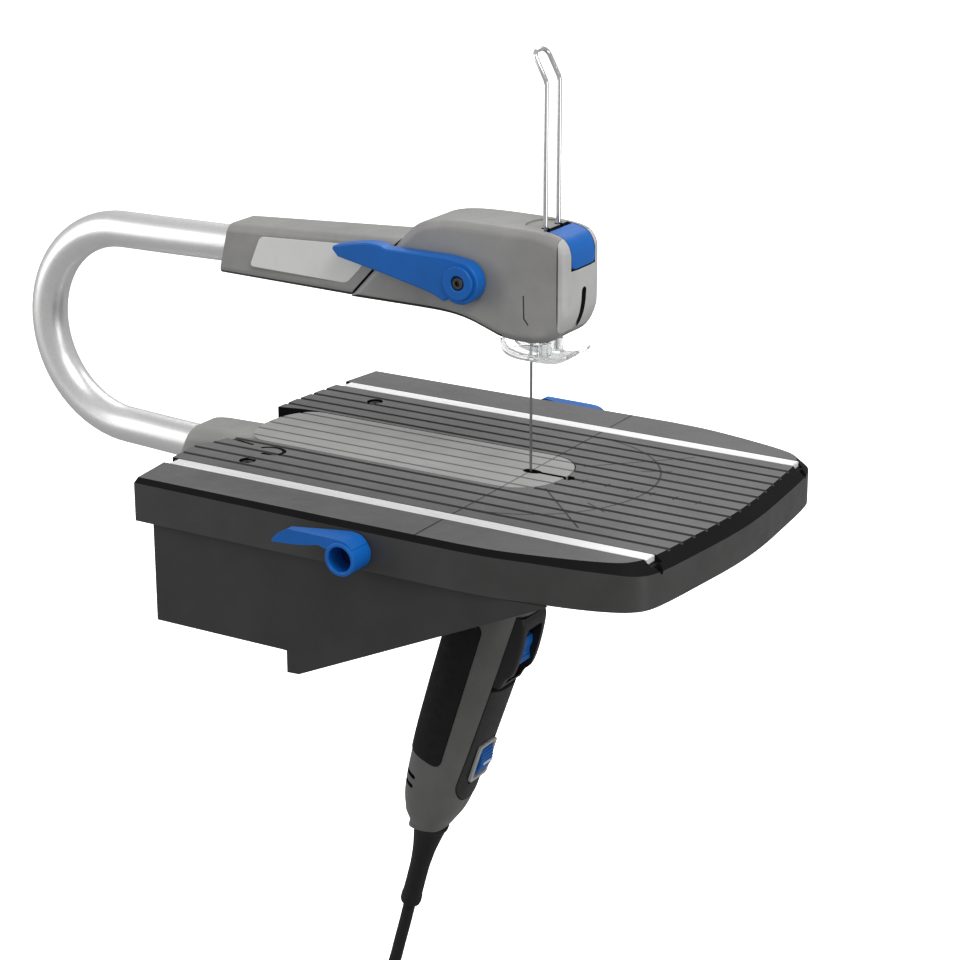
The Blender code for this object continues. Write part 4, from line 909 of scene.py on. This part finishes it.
HANDLE_SECTIONS = (
    (-112.0, 1.0, 9.2, 9.4), (-102.0, 1.2, 9.9, 10.1), (-96.0, 0.4, 12.9, 13.2), (-86.0, 0.7, 16.1, 16.4),
    (-75.0, 0.6, 17.8, 17.6), (-60.0, 0.2, 18.8, 18.2), (-39.0, 0.0, 19.9, 18.6), (0.0, 0.0, 21.0, 19.0),
    (40.0, 0.0, 21.8, 19.3), (70.0, 0.0, 22.0, 19.5))


def half_space(side, gap, material):
    """Everything on one side of the middle plane, from a gap out."""
    ends = sorted((SIGN[side] * gap, SIGN[side] * FAR))
    return box("keep", (-FAR, ends[0], -FAR), (FAR, ends[1], FAR), material)


def handle_solid(name, grow, material, bottom=-200.0, top=200.0, count=72):
    """The handle's outer shape, grown or shrunk, between two heights along its axis."""
    kept = [s for s in HANDLE_SECTIONS if bottom <= s[0] <= top]
    fine = kept[:2] + spline(kept[2:], 3) if kept[0][0] < -100 else spline(kept, 3)
    rings = []
    for z, centre, a, b in fine:
        height = z + (min(grow, 0.0) if z > 0 else -min(grow, 0.0)) * (abs(z) > 65)
        rings.append([(x, y, height) for x, y in super_ring(centre, a + grow, b + grow, 2.6, count)])
    return loft(name, rings, material, None, HANDLE)


def handle_box(name, corner, far_corner, material):
    return box(name, corner, far_corner, material, None, HANDLE)


def rounded_box(name, corner, far_corner, radius, material, axis="X", matrix=None, count=8):
    """A block whose edges along one axis are rounded."""
    u0, v0, u1, v1, w0, w1 = {
        "X": (corner[1], corner[2], far_corner[1], far_corner[2], corner[0], far_corner[0]),
        "Y": (corner[0], corner[2], far_corner[0], far_corner[2], corner[1], far_corner[1]),
        "Z": (corner[0], corner[1], far_corner[0], far_corner[1], corner[2], far_corner[2])}[axis]
    outline = []
    for u, v, start in ((u1 - radius, v1 - radius, 0), (u0 + radius, v1 - radius, 90),
                        (u0 + radius, v0 + radius, 180), (u1 - radius, v0 + radius, 270)):
        outline += circle(u, v, radius, count, start, 90.0)
    return prism(name, outline, w0, w1, material, axis, None, matrix)


ARM_SIDE = [(-37.0, 71.7), (134.0, 71.7), (134.0, 40.0), (131.0, 22.0), (124.0, 12.0), (84.0, 12.0),
            (66.0, 34.0), (-26.0, 38.0), (-37.0, 44.0)]
ARM_INSIDE = [(-34.2, 80.0), (131.2, 80.0), (131.2, 41.0), (128.3, 23.5), (122.5, 15.0), (87.0, 15.0),
              (67.5, 37.0), (-25.0, 41.0), (-34.2, 46.0)]


def make_saw_housing(m, side):
    """One half of the moulded body, hollow inside, with its grip recess, vents and seam."""
    grey = m["handle"]
    body = prism(f"body_{side}", ARM_SIDE, 0.3 - ARM_HALF, ARM_HALF - 0.3, grey)
    nose = prism("nose", arm_outline(-0.3) + [(-60.0, -28.0), (-60.0, 28.0)], -20.0, 90.0, grey, "Z")
    combine(body, nose, "INTERSECT")
    join(body, handle_solid("handle", 0.0, grey))
    # Painted shade: the black cutters below leave black walls in the room, hollow, channel, grip recess and
    # vents
    cut(body, prism("room", ARM_INSIDE, 2.8 - ARM_HALF, ARM_HALF - 2.8, m["black"]))
    cut(body, handle_solid("hollow", -2.6, m["black"], -97.0))
    cut(body, box("end", (0.0, -40.0, -200.0), (120.0, 40.0, HANDLE_END), grey))
    channel = handle_box("channel", (12.0, -13.0, -62.8), (40.0, 13.0, 48.0), m["black"])
    foot = prism("foot", circle(0.0, -62.8, 13.0, 41), 12.0, 40.0, m["black"], "X", None, HANDLE)
    cut(body, channel, foot)
    panel = handle_solid("skin", 1.5, m["black"], -70.0, 45.0)
    cut(panel, handle_solid("core", -1.7, m["black"], -200.0, 80.0))
    area = rounded_box("area", (-40.0, -40.0, -56.3), (5.3, 40.0, 36.3), 5.0, m["black"], "Y", HANDLE)
    combine(panel, area, "INTERSECT")
    cut(body, panel)
    cut(body, box("tube_way", (-60.0, -20.0, 40.0), (-30.0, 20.0, 90.0), grey))
    sign = SIGN[side]
    cut(body, box("catch", (LOCK_X - 4.6, sign * 27.6 - 2.6, LOCK_Z - 4.1),
                  (LOCK_X + 4.6, sign * 27.6 + 2.6, LOCK_Z + 4.1), grey))
    for row in (-70.0, -76.0):
        near, far = sign * 15.5 - 6.0, sign * 15.5 + 6.0
        cut(body, rounded_box("vent", (-16.0, near, row - 1.2), (-7.0, far, row + 1.2), 1.1, m["black"], "Y",
                              HANDLE))
    cut(body, rod("cord_way", (RELIEF_X, 0.0, HANDLE_END - 5.0), "Z", 20.0, 6.0, grey))
    combine(body, half_space(side, 0.15, grey), "INTERSECT")
    soften(body, 0.35, 2, 40.0)
    return replace(settle(body), "saw", f"housing_{side}")


def make_grip(m, side):
    rubber = m["rubber"]
    panel = handle_solid(f"grip_panel_{side}", 0.5, rubber, -70.0, 45.0)
    cut(panel, handle_solid("core", -1.4, rubber, -200.0, 80.0))
    combine(panel, rounded_box("area", (-40.0, -40.0, -56.0), (5.0, 40.0, 36.0), 4.8, rubber, "Y", HANDLE),
            "INTERSECT")
    combine(panel, half_space(side, 0.15, rubber), "INTERSECT")
    soften(panel, 0.4, 2, 40.0)
    return replace(settle(panel), "saw", f"grip_{side}")


def make_handle_front(m):
    strip = handle_solid("front_panel", 0.4, m["strip"], -86.0, 10.0)
    area = handle_box("area", (12.3, -12.7, -62.5), (40.0, 12.7, 3.0), m["strip"])
    join(area, prism("end", circle(0.0, -62.5, 12.7, 41), 12.3, 40.0, m["strip"], "X", None, HANDLE))
    combine(strip, area, "INTERSECT")
    # Painted shade: the dial well and bezel seat cutters leave black walls
    cut(strip, handle_box("dial_well", (0.0, -6.5, -63.0), (40.0, 6.5, -33.8), m["black"]),
        rounded_box("bezel_seat", (18.6, -9.5, -60.7), (40.0, 9.5, -36.1), 2.4, m["black"], "X", HANDLE))
    soften(strip, 0.5, 2, 40.0)
    replace(settle(strip), "saw", "front_strip")

    front = spline([(21.4, 3.3), (22.8, 9.0), (25.4, 13.5), (26.2, 22.0), (25.6, 34.0), (24.2, 44.0),
                    (22.4, 47.7)], 4)
    side = [(12.3, 3.3)] + front + [(12.3, 47.7)]
    guard = prism("guard", side, -12.7, 12.7, m["black"], "Y", None, HANDLE)
    round_sides(guard, 2.4, 4, lambda a, b: abs(a.y) > 12.6 and abs(b.y) > 12.6 and abs(a.y - b.y) < 1
                and min(a.x, b.x) > 20)
    well = rounded_box("well", (8.0, -8.0, 11.0), (40.0, 8.0, 41.0), 3.0, m["black"], "X", HANDLE)
    cut(guard, well)
    ramp = [(18.0, 4.5), (30.0, 8.0), (30.0, 12.0), (18.0, 12.0)]
    cut(guard, prism("ramp", ramp, -8.0, 8.0, m["black"], "Y", None, HANDLE))
    soften(guard, 0.5, 2, 42.0)
    replace(settle(guard), "saw", "switch_guard")

    thumb = spline([(20.0, 15.5), (23.2, 16.6), (24.4, 18.4), (23.2, 21.5), (22.6, 24.0), (22.9, 27.0),
                    (22.2, 30.0), (21.4, 31.5)], 3)
    button = [(12.6, 15.5)] + thumb + [(12.6, 31.5)]
    switch = prism("slide_switch", button, -7.4, 7.4, m["blue"], "Y", None, HANDLE)
    join(switch, handle_box("stem", (7.5, -3.0, 20.0), (14.0, 3.0, 27.0), m["blue"]))
    for i in range(4):
        cut(switch, rod("rib", (23.6, -9.0, 21.2 + 2.4 * i), "Y", 18.0, 0.55, m["blue"], 12, HANDLE))
    soften(switch, 0.4, 2, 42.0)
    replace(settle(switch), "power_switch", "power_switch")

    bezel = rounded_box("dial_frame", (18.9, -8.7, -60.4), (20.9, 8.7, -36.4), 2.2, m["pale"], "X", HANDLE)
    cut(bezel, rounded_box("window", (0.0, -6.5, -58.4), (40.0, 6.5, -38.4), 1.2, m["pale"], "X", HANDLE))
    soften(bezel, 0.5, 3, 40.0)
    replace(settle(bezel), "saw", "dial_bezel")

    knurl = []
    for i in range(48):
        for radius, share in ((13.5, 0.0), (14.0, 0.25), (14.0, 0.6), (13.5, 0.85)):
            knurl.append(circle(8.8, -48.4, radius, 1, 7.5 * (i + share))[0])
    dial = prism("dial_wheel", knurl, -6.0, 6.0, m["blue"], "Y", None, HANDLE)
    soften(dial, 0.25, 1, 60.0)
    replace(settle(dial), "speed_dial", "speed_dial")
    mark = rounded_box("dial_mark", (22.4, -3.6, -49.4), (22.9, 3.6, -47.4), 0.6, m["nylon"], "X", HANDLE)
    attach(mark, "speed_dial")


# Head

HEAD_SIDE = [(53.0, 195.6), (60.0, 201.4), (70.0, 204.6), (85.0, 206.0), (108.0, 206.2), (128.0, 205.6),
             (139.0, 204.0), (144.0, 200.5), (146.4, 194.0), (147.0, 184.0), (146.6, 170.0), (144.6, 161.0),
             (140.4, 153.8), (134.0, 149.8), (122.0, 148.4), (110.0, 149.0), (101.0, 151.8), (90.0, 155.4),
             (78.0, 157.4), (60.0, 158.0), (18.2, 158.0)]
HEAD_INSIDE = [(60.0, 196.0), (72.0, 201.4), (86.0, 203.2), (108.0, 203.4), (130.0, 202.8), (137.6, 201.0),
               (138.2, 186.0), (138.2, 158.0), (132.0, 152.6), (122.0, 151.4), (110.0, 152.0), (102.0, 154.6),
               (91.0, 158.4), (78.0, 160.4), (60.0, 161.0), (27.0, 161.0)]


def head_blank(name, material):
    blank = prism(name, spline(HEAD_SIDE, 3), -HEAD_HALF, HEAD_HALF, material)
    return round_sides(blank, 5.0, 6, lambda a, b: abs(a.y) > 18 and abs(b.y) > 18 and abs(a.y - b.y) < 1)


def make_head_shell(m, side):
    grey = m["grey"]
    shell = head_blank(f"head_{side}", grey)
    # Painted shade: the black cutters leave black walls in the room, button room, mouth, wire ways and pivot
    # hole
    cut(shell, prism("room", HEAD_INSIDE, -15.8, 15.8, m["black"]))
    cut(shell, box("front", (NOSE_X, -30.0, 100.0), (200.0, 30.0, 250.0), grey))
    cut(shell, box("button_room", (130.3, -12.0, 186.9), (200.0, 12.0, 230.0), m["black"]))
    cut(shell, box("mouth", (107.0, -11.6, 130.0), (135.0, 11.6, 156.0), m["black"]))
    for sign in (-1, 1):
        cut(shell, rod("wire_way", (ROD_X, sign * ROD_Y, 190.0), "Z", 30.0, 2.1, m["black"], 24))
    sign = SIGN[side]
    # The shallow dish round the wire, at the top
    cut(shell, prism("dish", super_ring(125.0, 9.0, 11.0, 2.4, 48), 205.3, 220.0, grey, "Z"))
    if side == "right":
        cut(shell, rod("pivot_hole", (LEVER_X, -30.0, LEVER_Z), "Y", 20.0, 4.3, m["black"]))
    # A small engraved arrow for the way the blade's teeth point
    arrow = [(122.6, 173.2), (123.4, 173.2), (123.7, 161.8), (126.0, 158.8), (125.4, 158.3), (122.9, 161.4)]
    cut(shell, prism("arrow", arrow, sign * (HEAD_HALF - 0.5), sign * (HEAD_HALF + 2.0), m["arrow"]))
    combine(shell, half_space(side, 0.0, grey), "INTERSECT")
    # Painted shade: the downward-facing faces of the shell's rear take the black moulding, for the shade
    # under the head
    paint(shell, m["black"], lambda at, normal: normal.z < -0.42 and at.x < 110.0)
    soften(shell, 0.2, 1, 45.0)
    return replace(settle(shell), "saw", f"head_shell_{side}")


def make_nose(m):
    half_plan = [(138.0, 40.0), (140.6, HEAD_HALF), (143.4, 19.2), (145.6, 15.0), (146.8, 8.0), (147.1, 0.0)]
    plan = [(100.0, -40.0), (100.0, 40.0)] + spline(half_plan + [(x, -y) for x, y in half_plan[-2::-1]], 4)
    # Painted light: the nose takes the lighter copy of the head's grey on its front-facing surfaces
    nose = head_blank("nose", m["nose"])
    combine(nose, prism("plan", plan, 100.0, 250.0, m["nose"], "Z"), "INTERSECT")
    cut(nose, box("rear", (-100.0, -30.0, 100.0), (NOSE_X + 0.15, 30.0, 250.0), m["nose"]))
    # Painted shade: the button room and blade slot cutters leave black walls
    cut(nose, box("button_room", (100.0, -12.0, 186.9), (200.0, 12.0, 230.0), m["black"]))
    slot = rounded_box("slot", (100.0, -2.2, 140.0), (200.0, 2.2, 177.0), 2.1, m["black"], "X")
    cut(nose, slot)
    soften(nose, 0.4, 2, 40.0)
    replace(settle(nose), "saw", "nose_cap")
    # Painted shade: a thin black sheet behind the blade slot, so the opening reads as shade
    slot_shade_sheet = box("slot_back_painted_shade", (139.2, -3.2, 156.5), (139.9, 3.2, 178.0), m["black"])
    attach(settle(slot_shade_sheet), "saw")
    button = head_blank("blade_button", m["blue"])
    combine(button, prism("plan", plan, 100.0, 250.0, m["blue"], "Z"), "INTERSECT")
    keep = rounded_box("keep", (133.4, -11.5, 187.6), (200.0, 11.5, 240.0), 2.6, m["blue"], "X")
    combine(button, keep, "INTERSECT")
    soften(button, 0.5, 3, 40.0)
    replace(settle(button), "release_button", "release_button")


def make_tension_lever(m):
    face, back = LEVER_FACE, LEVER_BACK
    tip = [(16.0, 187.0), (15.5, 185.2)]
    under = spline([(19.0, 181.6), (32.0, 179.1), (45.0, 176.6), (68.0, 171.6), (76.0, 169.4),
                    (82.0, 166.6)], 3)
    over = spline([(84.0, 189.4), (60.0, 189.4), (48.0, 189.4), (44.5, 190.6), (38.0, 191.0), (30.0, 190.0),
                   (21.0, 188.2)], 3)
    arm = tip + under + circle(LEVER_X, LEVER_Z, 11.1, 33, -125.0, 212.0) + over
    lever = prism("blade_lever", arm, face + 1.6, back, m["blue"])
    soften(lever, 1.4, 4, 40.0)
    ring = [(8.6, face + 2.5), (8.6, face + 0.5), (8.1, face), (4.3, face), (3.7, face + 0.5),
            (3.7, face + 2.5)]
    join(lever, turned("boss", ring, (LEVER_X, 0.0, LEVER_Z), "Y", m["blue"], count=64))
    cut(lever, rod("sink", (LEVER_X, face - 1.0, LEVER_Z), "Y", 4.6, 3.7, m["blue"], 48))
    join(lever, rod("shaft", (LEVER_X, back - 1.0, LEVER_Z), "Y", 12.5, 4.0, m["blue"]))
    cut(lever, rod("thread", (LEVER_X, face, LEVER_Z), "Y", 30.0, 1.7, m["blue"]))
    replace(settle(lever), "tension_lever", "tension_lever")
    head = [(0.0, -27.2), (1.2, -27.2), (1.2, -28.4), (1.3, -28.6), (2.8, -28.6), (3.1, -28.3), (3.1, -25.7),
            (1.4, -25.7), (1.4, -2.0), (0.0, -2.0)]
    screw = turned("lever_bolt", head, (LEVER_X, 0, LEVER_Z), "Y", m["dark_steel"], count=48)
    hexagon = circle(LEVER_X, LEVER_Z, 1.55, 6, 30.0)
    # Painted shade: the hex socket's walls come out black
    cut(screw, prism("socket", hexagon, -30.0, -27.4, m["black"]))
    replace(settle(screw), "tension_lever", "lever_screw")


def make_hold_down(m):
    lean = math.radians(28.0)
    back = Vector((-math.sin(lean), 0, math.cos(lean)))
    half = [Vector((ROD_X, -ROD_Y, 141.2)), Vector((ROD_X, -ROD_Y, 200.0)), Vector((ROD_X, -ROD_Y, 272.0))]
    for i in range(8):
        angle = lean * i / 7
        half.append(Vector((ROD_X - 7.0 * (1 - math.cos(angle)), -ROD_Y, 276.0 + 7.0 * math.sin(angle))))
    start = half[-1]
    for i in range(1, 12):
        angle = math.radians(90.0) * i / 11
        inward = Vector((0, 4.5 * (1 - math.cos(angle)), 0))
        half.append(start + back * (9.5 + 4.5 * math.sin(angle)) + inward)
    path = half + [Vector((p.x, -p.y, p.z)) for p in reversed(half)]
    replace(tube("guard_wire", path, ROD_RADIUS, m["chrome"], None), "hold_down", "hold_down_wire")

    under = spline([(102.6, 145.8), (103.4, 142.6), (107.0, 139.6), (113.0, 138.0), (119.0, 137.6),
                    (133.0, 137.6), (139.0, 138.8), (143.0, 141.0), (147.0, 144.2)], 4)
    over = spline([(146.2, 145.2), (142.0, 142.6), (138.0, 140.6), (133.0, 139.5), (119.0, 139.5),
                   (113.4, 139.9), (108.0, 141.3), (105.4, 143.6), (104.6, 146.2)], 4)
    clear = m["clear"]
    foot = prism("clear_shoe", under + over, -11.0, 11.0, clear)
    half_plan = [(102.0, 5.0), (106.0, 9.4), (113.0, 10.9), (124.0, 10.9), (133.0, 10.4), (140.0, 9.0),
                 (147.4, 7.6), (148.0, 4.0)]
    plan = smooth_closed([(102.0, -5.0)] + half_plan + [(x, -y) for x, y in half_plan[:0:-1]], 4)
    combine(foot, prism("plan", plan, 130.0, 160.0, clear, "Z"), "INTERSECT")
    cut(foot, rounded_box("way", (90.0, -5.2, 120.0), (122.6, 5.2, 160.0), 3.0, clear, "Z"))
    cut(foot, rounded_box("gap", (139.5, -4.0, 120.0), (160.0, 4.0, 160.0), 2.0, clear, "Z"))
    for sign in (-1, 1):
        join(foot, rod("boss", (ROD_X, sign * ROD_Y, 138.4), "Z", 8.6, 3.0, clear, 40))
        rib = [(107.5, 140.2), (125.0, 139.0), (125.0, 145.0), (117.0, 144.6), (109.5, 142.6)]
        join(foot, prism("rib", rib, sign * 7.9 - 0.6, sign * 7.9 + 0.6, clear))
        cut(foot, rod("socket", (ROD_X, sign * ROD_Y, 140.9), "Z", 12.0, ROD_RADIUS + 0.15, clear, 24))
    soften(foot, 0.35, 2, 35.0)
    replace(settle(foot), "hold_down", "foot")


# Plug, relief and tie

def make_relief(m):
    lean = Matrix.Translation(Vector((RELIEF_X, 0.0, HANDLE_END)) * MM) @ Matrix.Rotation(RELIEF_TILT, 4, "Y")
    curve = spline([(10.0, 0.0), (8.9, -2.5), (7.5, -9.7), (6.5, -15.8), (5.9, -21.9), (5.5, -28.0),
                    (5.45, -37.0), (5.5, -46.0)], 4)
    boot = [(0.0, 4.0), (10.4, 4.0)] + curve
    boot += [(5.8, -47.0), (5.9, -49.0), (5.8, -51.5), (5.3, -52.8), (4.6, -53.4), (3.55, -53.4),
             (3.55, -48.0), (0.0, -48.0)]
    relief = turned("boot", boot, (0, 0, 0), "Z", m["cord"], None, 64, lean)
    cut(relief, box("above", (20.0, -20.0, HANDLE_END - 0.3), (90.0, 20.0, HANDLE_END + 20.0), m["cord"]))
    join(relief, rod("neck", (RELIEF_X, 0.0, HANDLE_END - 2.0), "Z", 12.0, 5.7, m["cord"]))
    replace(settle(relief), "saw", "strain_relief")


def make_plug(m):
    centre = middle("plug_body")
    top = high("plug_body").z
    # Half depth, half width, squareness and height of each ring
    sections = ((4.4, 4.4, 2.0, -0.6), (4.6, 4.6, 2.0, -1.4), (4.9, 4.9, 2.0, -6.0), (5.4, 5.4, 2.0, -12.0),
                (7.0, 10.0, 2.6, -17.0), (7.8, 12.4, 3.2, -20.0), (8.0, 13.0, 3.5, -23.0),
                (7.6, 12.6, 3.5, -30.0), (8.0, 13.0, 3.5, -36.0), (7.5, 12.4, 3.5, -38.0))
    rings = []
    for a, b, power, down in sections:
        rings.append([(x, centre.y + y, top + down) for x, y in super_ring(centre.x, a, b, power, 48)])
    body = loft("lead_plug", rings, m["cord"])
    for i in range(4):
        ring = [(4.2, -3.0 - 2.3 * i), (8.0, -3.0 - 2.3 * i), (8.0, -3.9 - 2.3 * i), (4.2, -3.9 - 2.3 * i)]
        cut(body, turned("ring", ring, (centre.x, centre.y, top), "Z", m["cord"], count=40))
    soften(body, 0.3, 2, 40.0)
    replace(settle(body), "saw", "plug_body")
    for side in ("left", "right"):
        node = f"plug_pin_{side}"
        corner, far = low(node), high(node)
        pin = rounded_box(f"plug_blade_{side}", tuple(corner), tuple(far), 1.4, m["brass"], "Y")
        hole_at = ((corner.x + far.x) / 2, corner.y - 2.0, corner.z + 4.5)
        cut(pin, rod("hole", hole_at, "Y", 6.0, 1.4, m["brass"], 24))
        soften(pin, 0.15, 1, 40.0)
        replace(settle(pin), "saw", node)
    centre = middle("cord_tie")
    tie = rounded_box("lead_tie", tuple(low("cord_tie")), tuple(high("cord_tie")), 4.0, m["black"], "Z")
    corners = ((1, -0.6), (1, 0.6), (0.6, 1), (-0.6, 1), (-1, 0.6), (-1, -0.6), (-0.6, -1), (0.6, -1))
    inside = smooth_closed([(centre.x + 11.0 * c, 11.0 * s) for c, s in corners], 3)
    cut(tie, prism("hole", inside, centre.z - 20.0, centre.z + 20.0, m["black"], "Z"))
    soften(tie, 0.4, 2, 40.0)
    replace(settle(tie), "saw", "cord_tie")


# Pieces that keep the CAD shape and take only a material

FINISHES = {
    "rail": ("rail_left", "rail_right"),
    "black": ("table_screw_left", "table_screw_right", "foot_brake"),
    "steel": ("lock_bolt_left", "lock_bolt_right", "motor_stator", "bearing_lower", "bearing_upper", "pinion",
              "crank_axle", "upper_plunger", "lower_plunger", "tension_spring", "button_spring",
              "tension_slider"),
    "dark_steel": ("lower_clamp", "upper_clamp"),
    "blade": ("blade",),
    "brass": ("plunger_guide",),
    "copper": ("armature",),
    "nylon": ("motor_fan", "crank_gear", "lever_cam"),
    "board": ("control_board",),
}


def finish_inner_pieces(m):
    for finish, nodes in FINISHES.items():
        for node in nodes:
            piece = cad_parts[node]
            piece.data.materials.clear()
            piece.data.materials.append(m[finish])


# Everything together

def main():
    make_camera()
    make_studio()
    m = make_materials()
    finish_inner_pieces(m)
    make_relief(m)
    make_plug(m)
    make_cord(m)
    make_table(m)
    make_arm_cover(m)
    make_soft_copy("base_housing", "base_skirt", m["base"], 0.7)
    make_bow(m)
    for side in ("left", "right"):
        make_lock_lever(m, side)
        make_saw_housing(m, side)
        make_grip(m, side)
        make_head_shell(m, side)
    make_handle_front(m)
    make_nose(m)
    make_tension_lever(m)
    make_hold_down(m)


main()
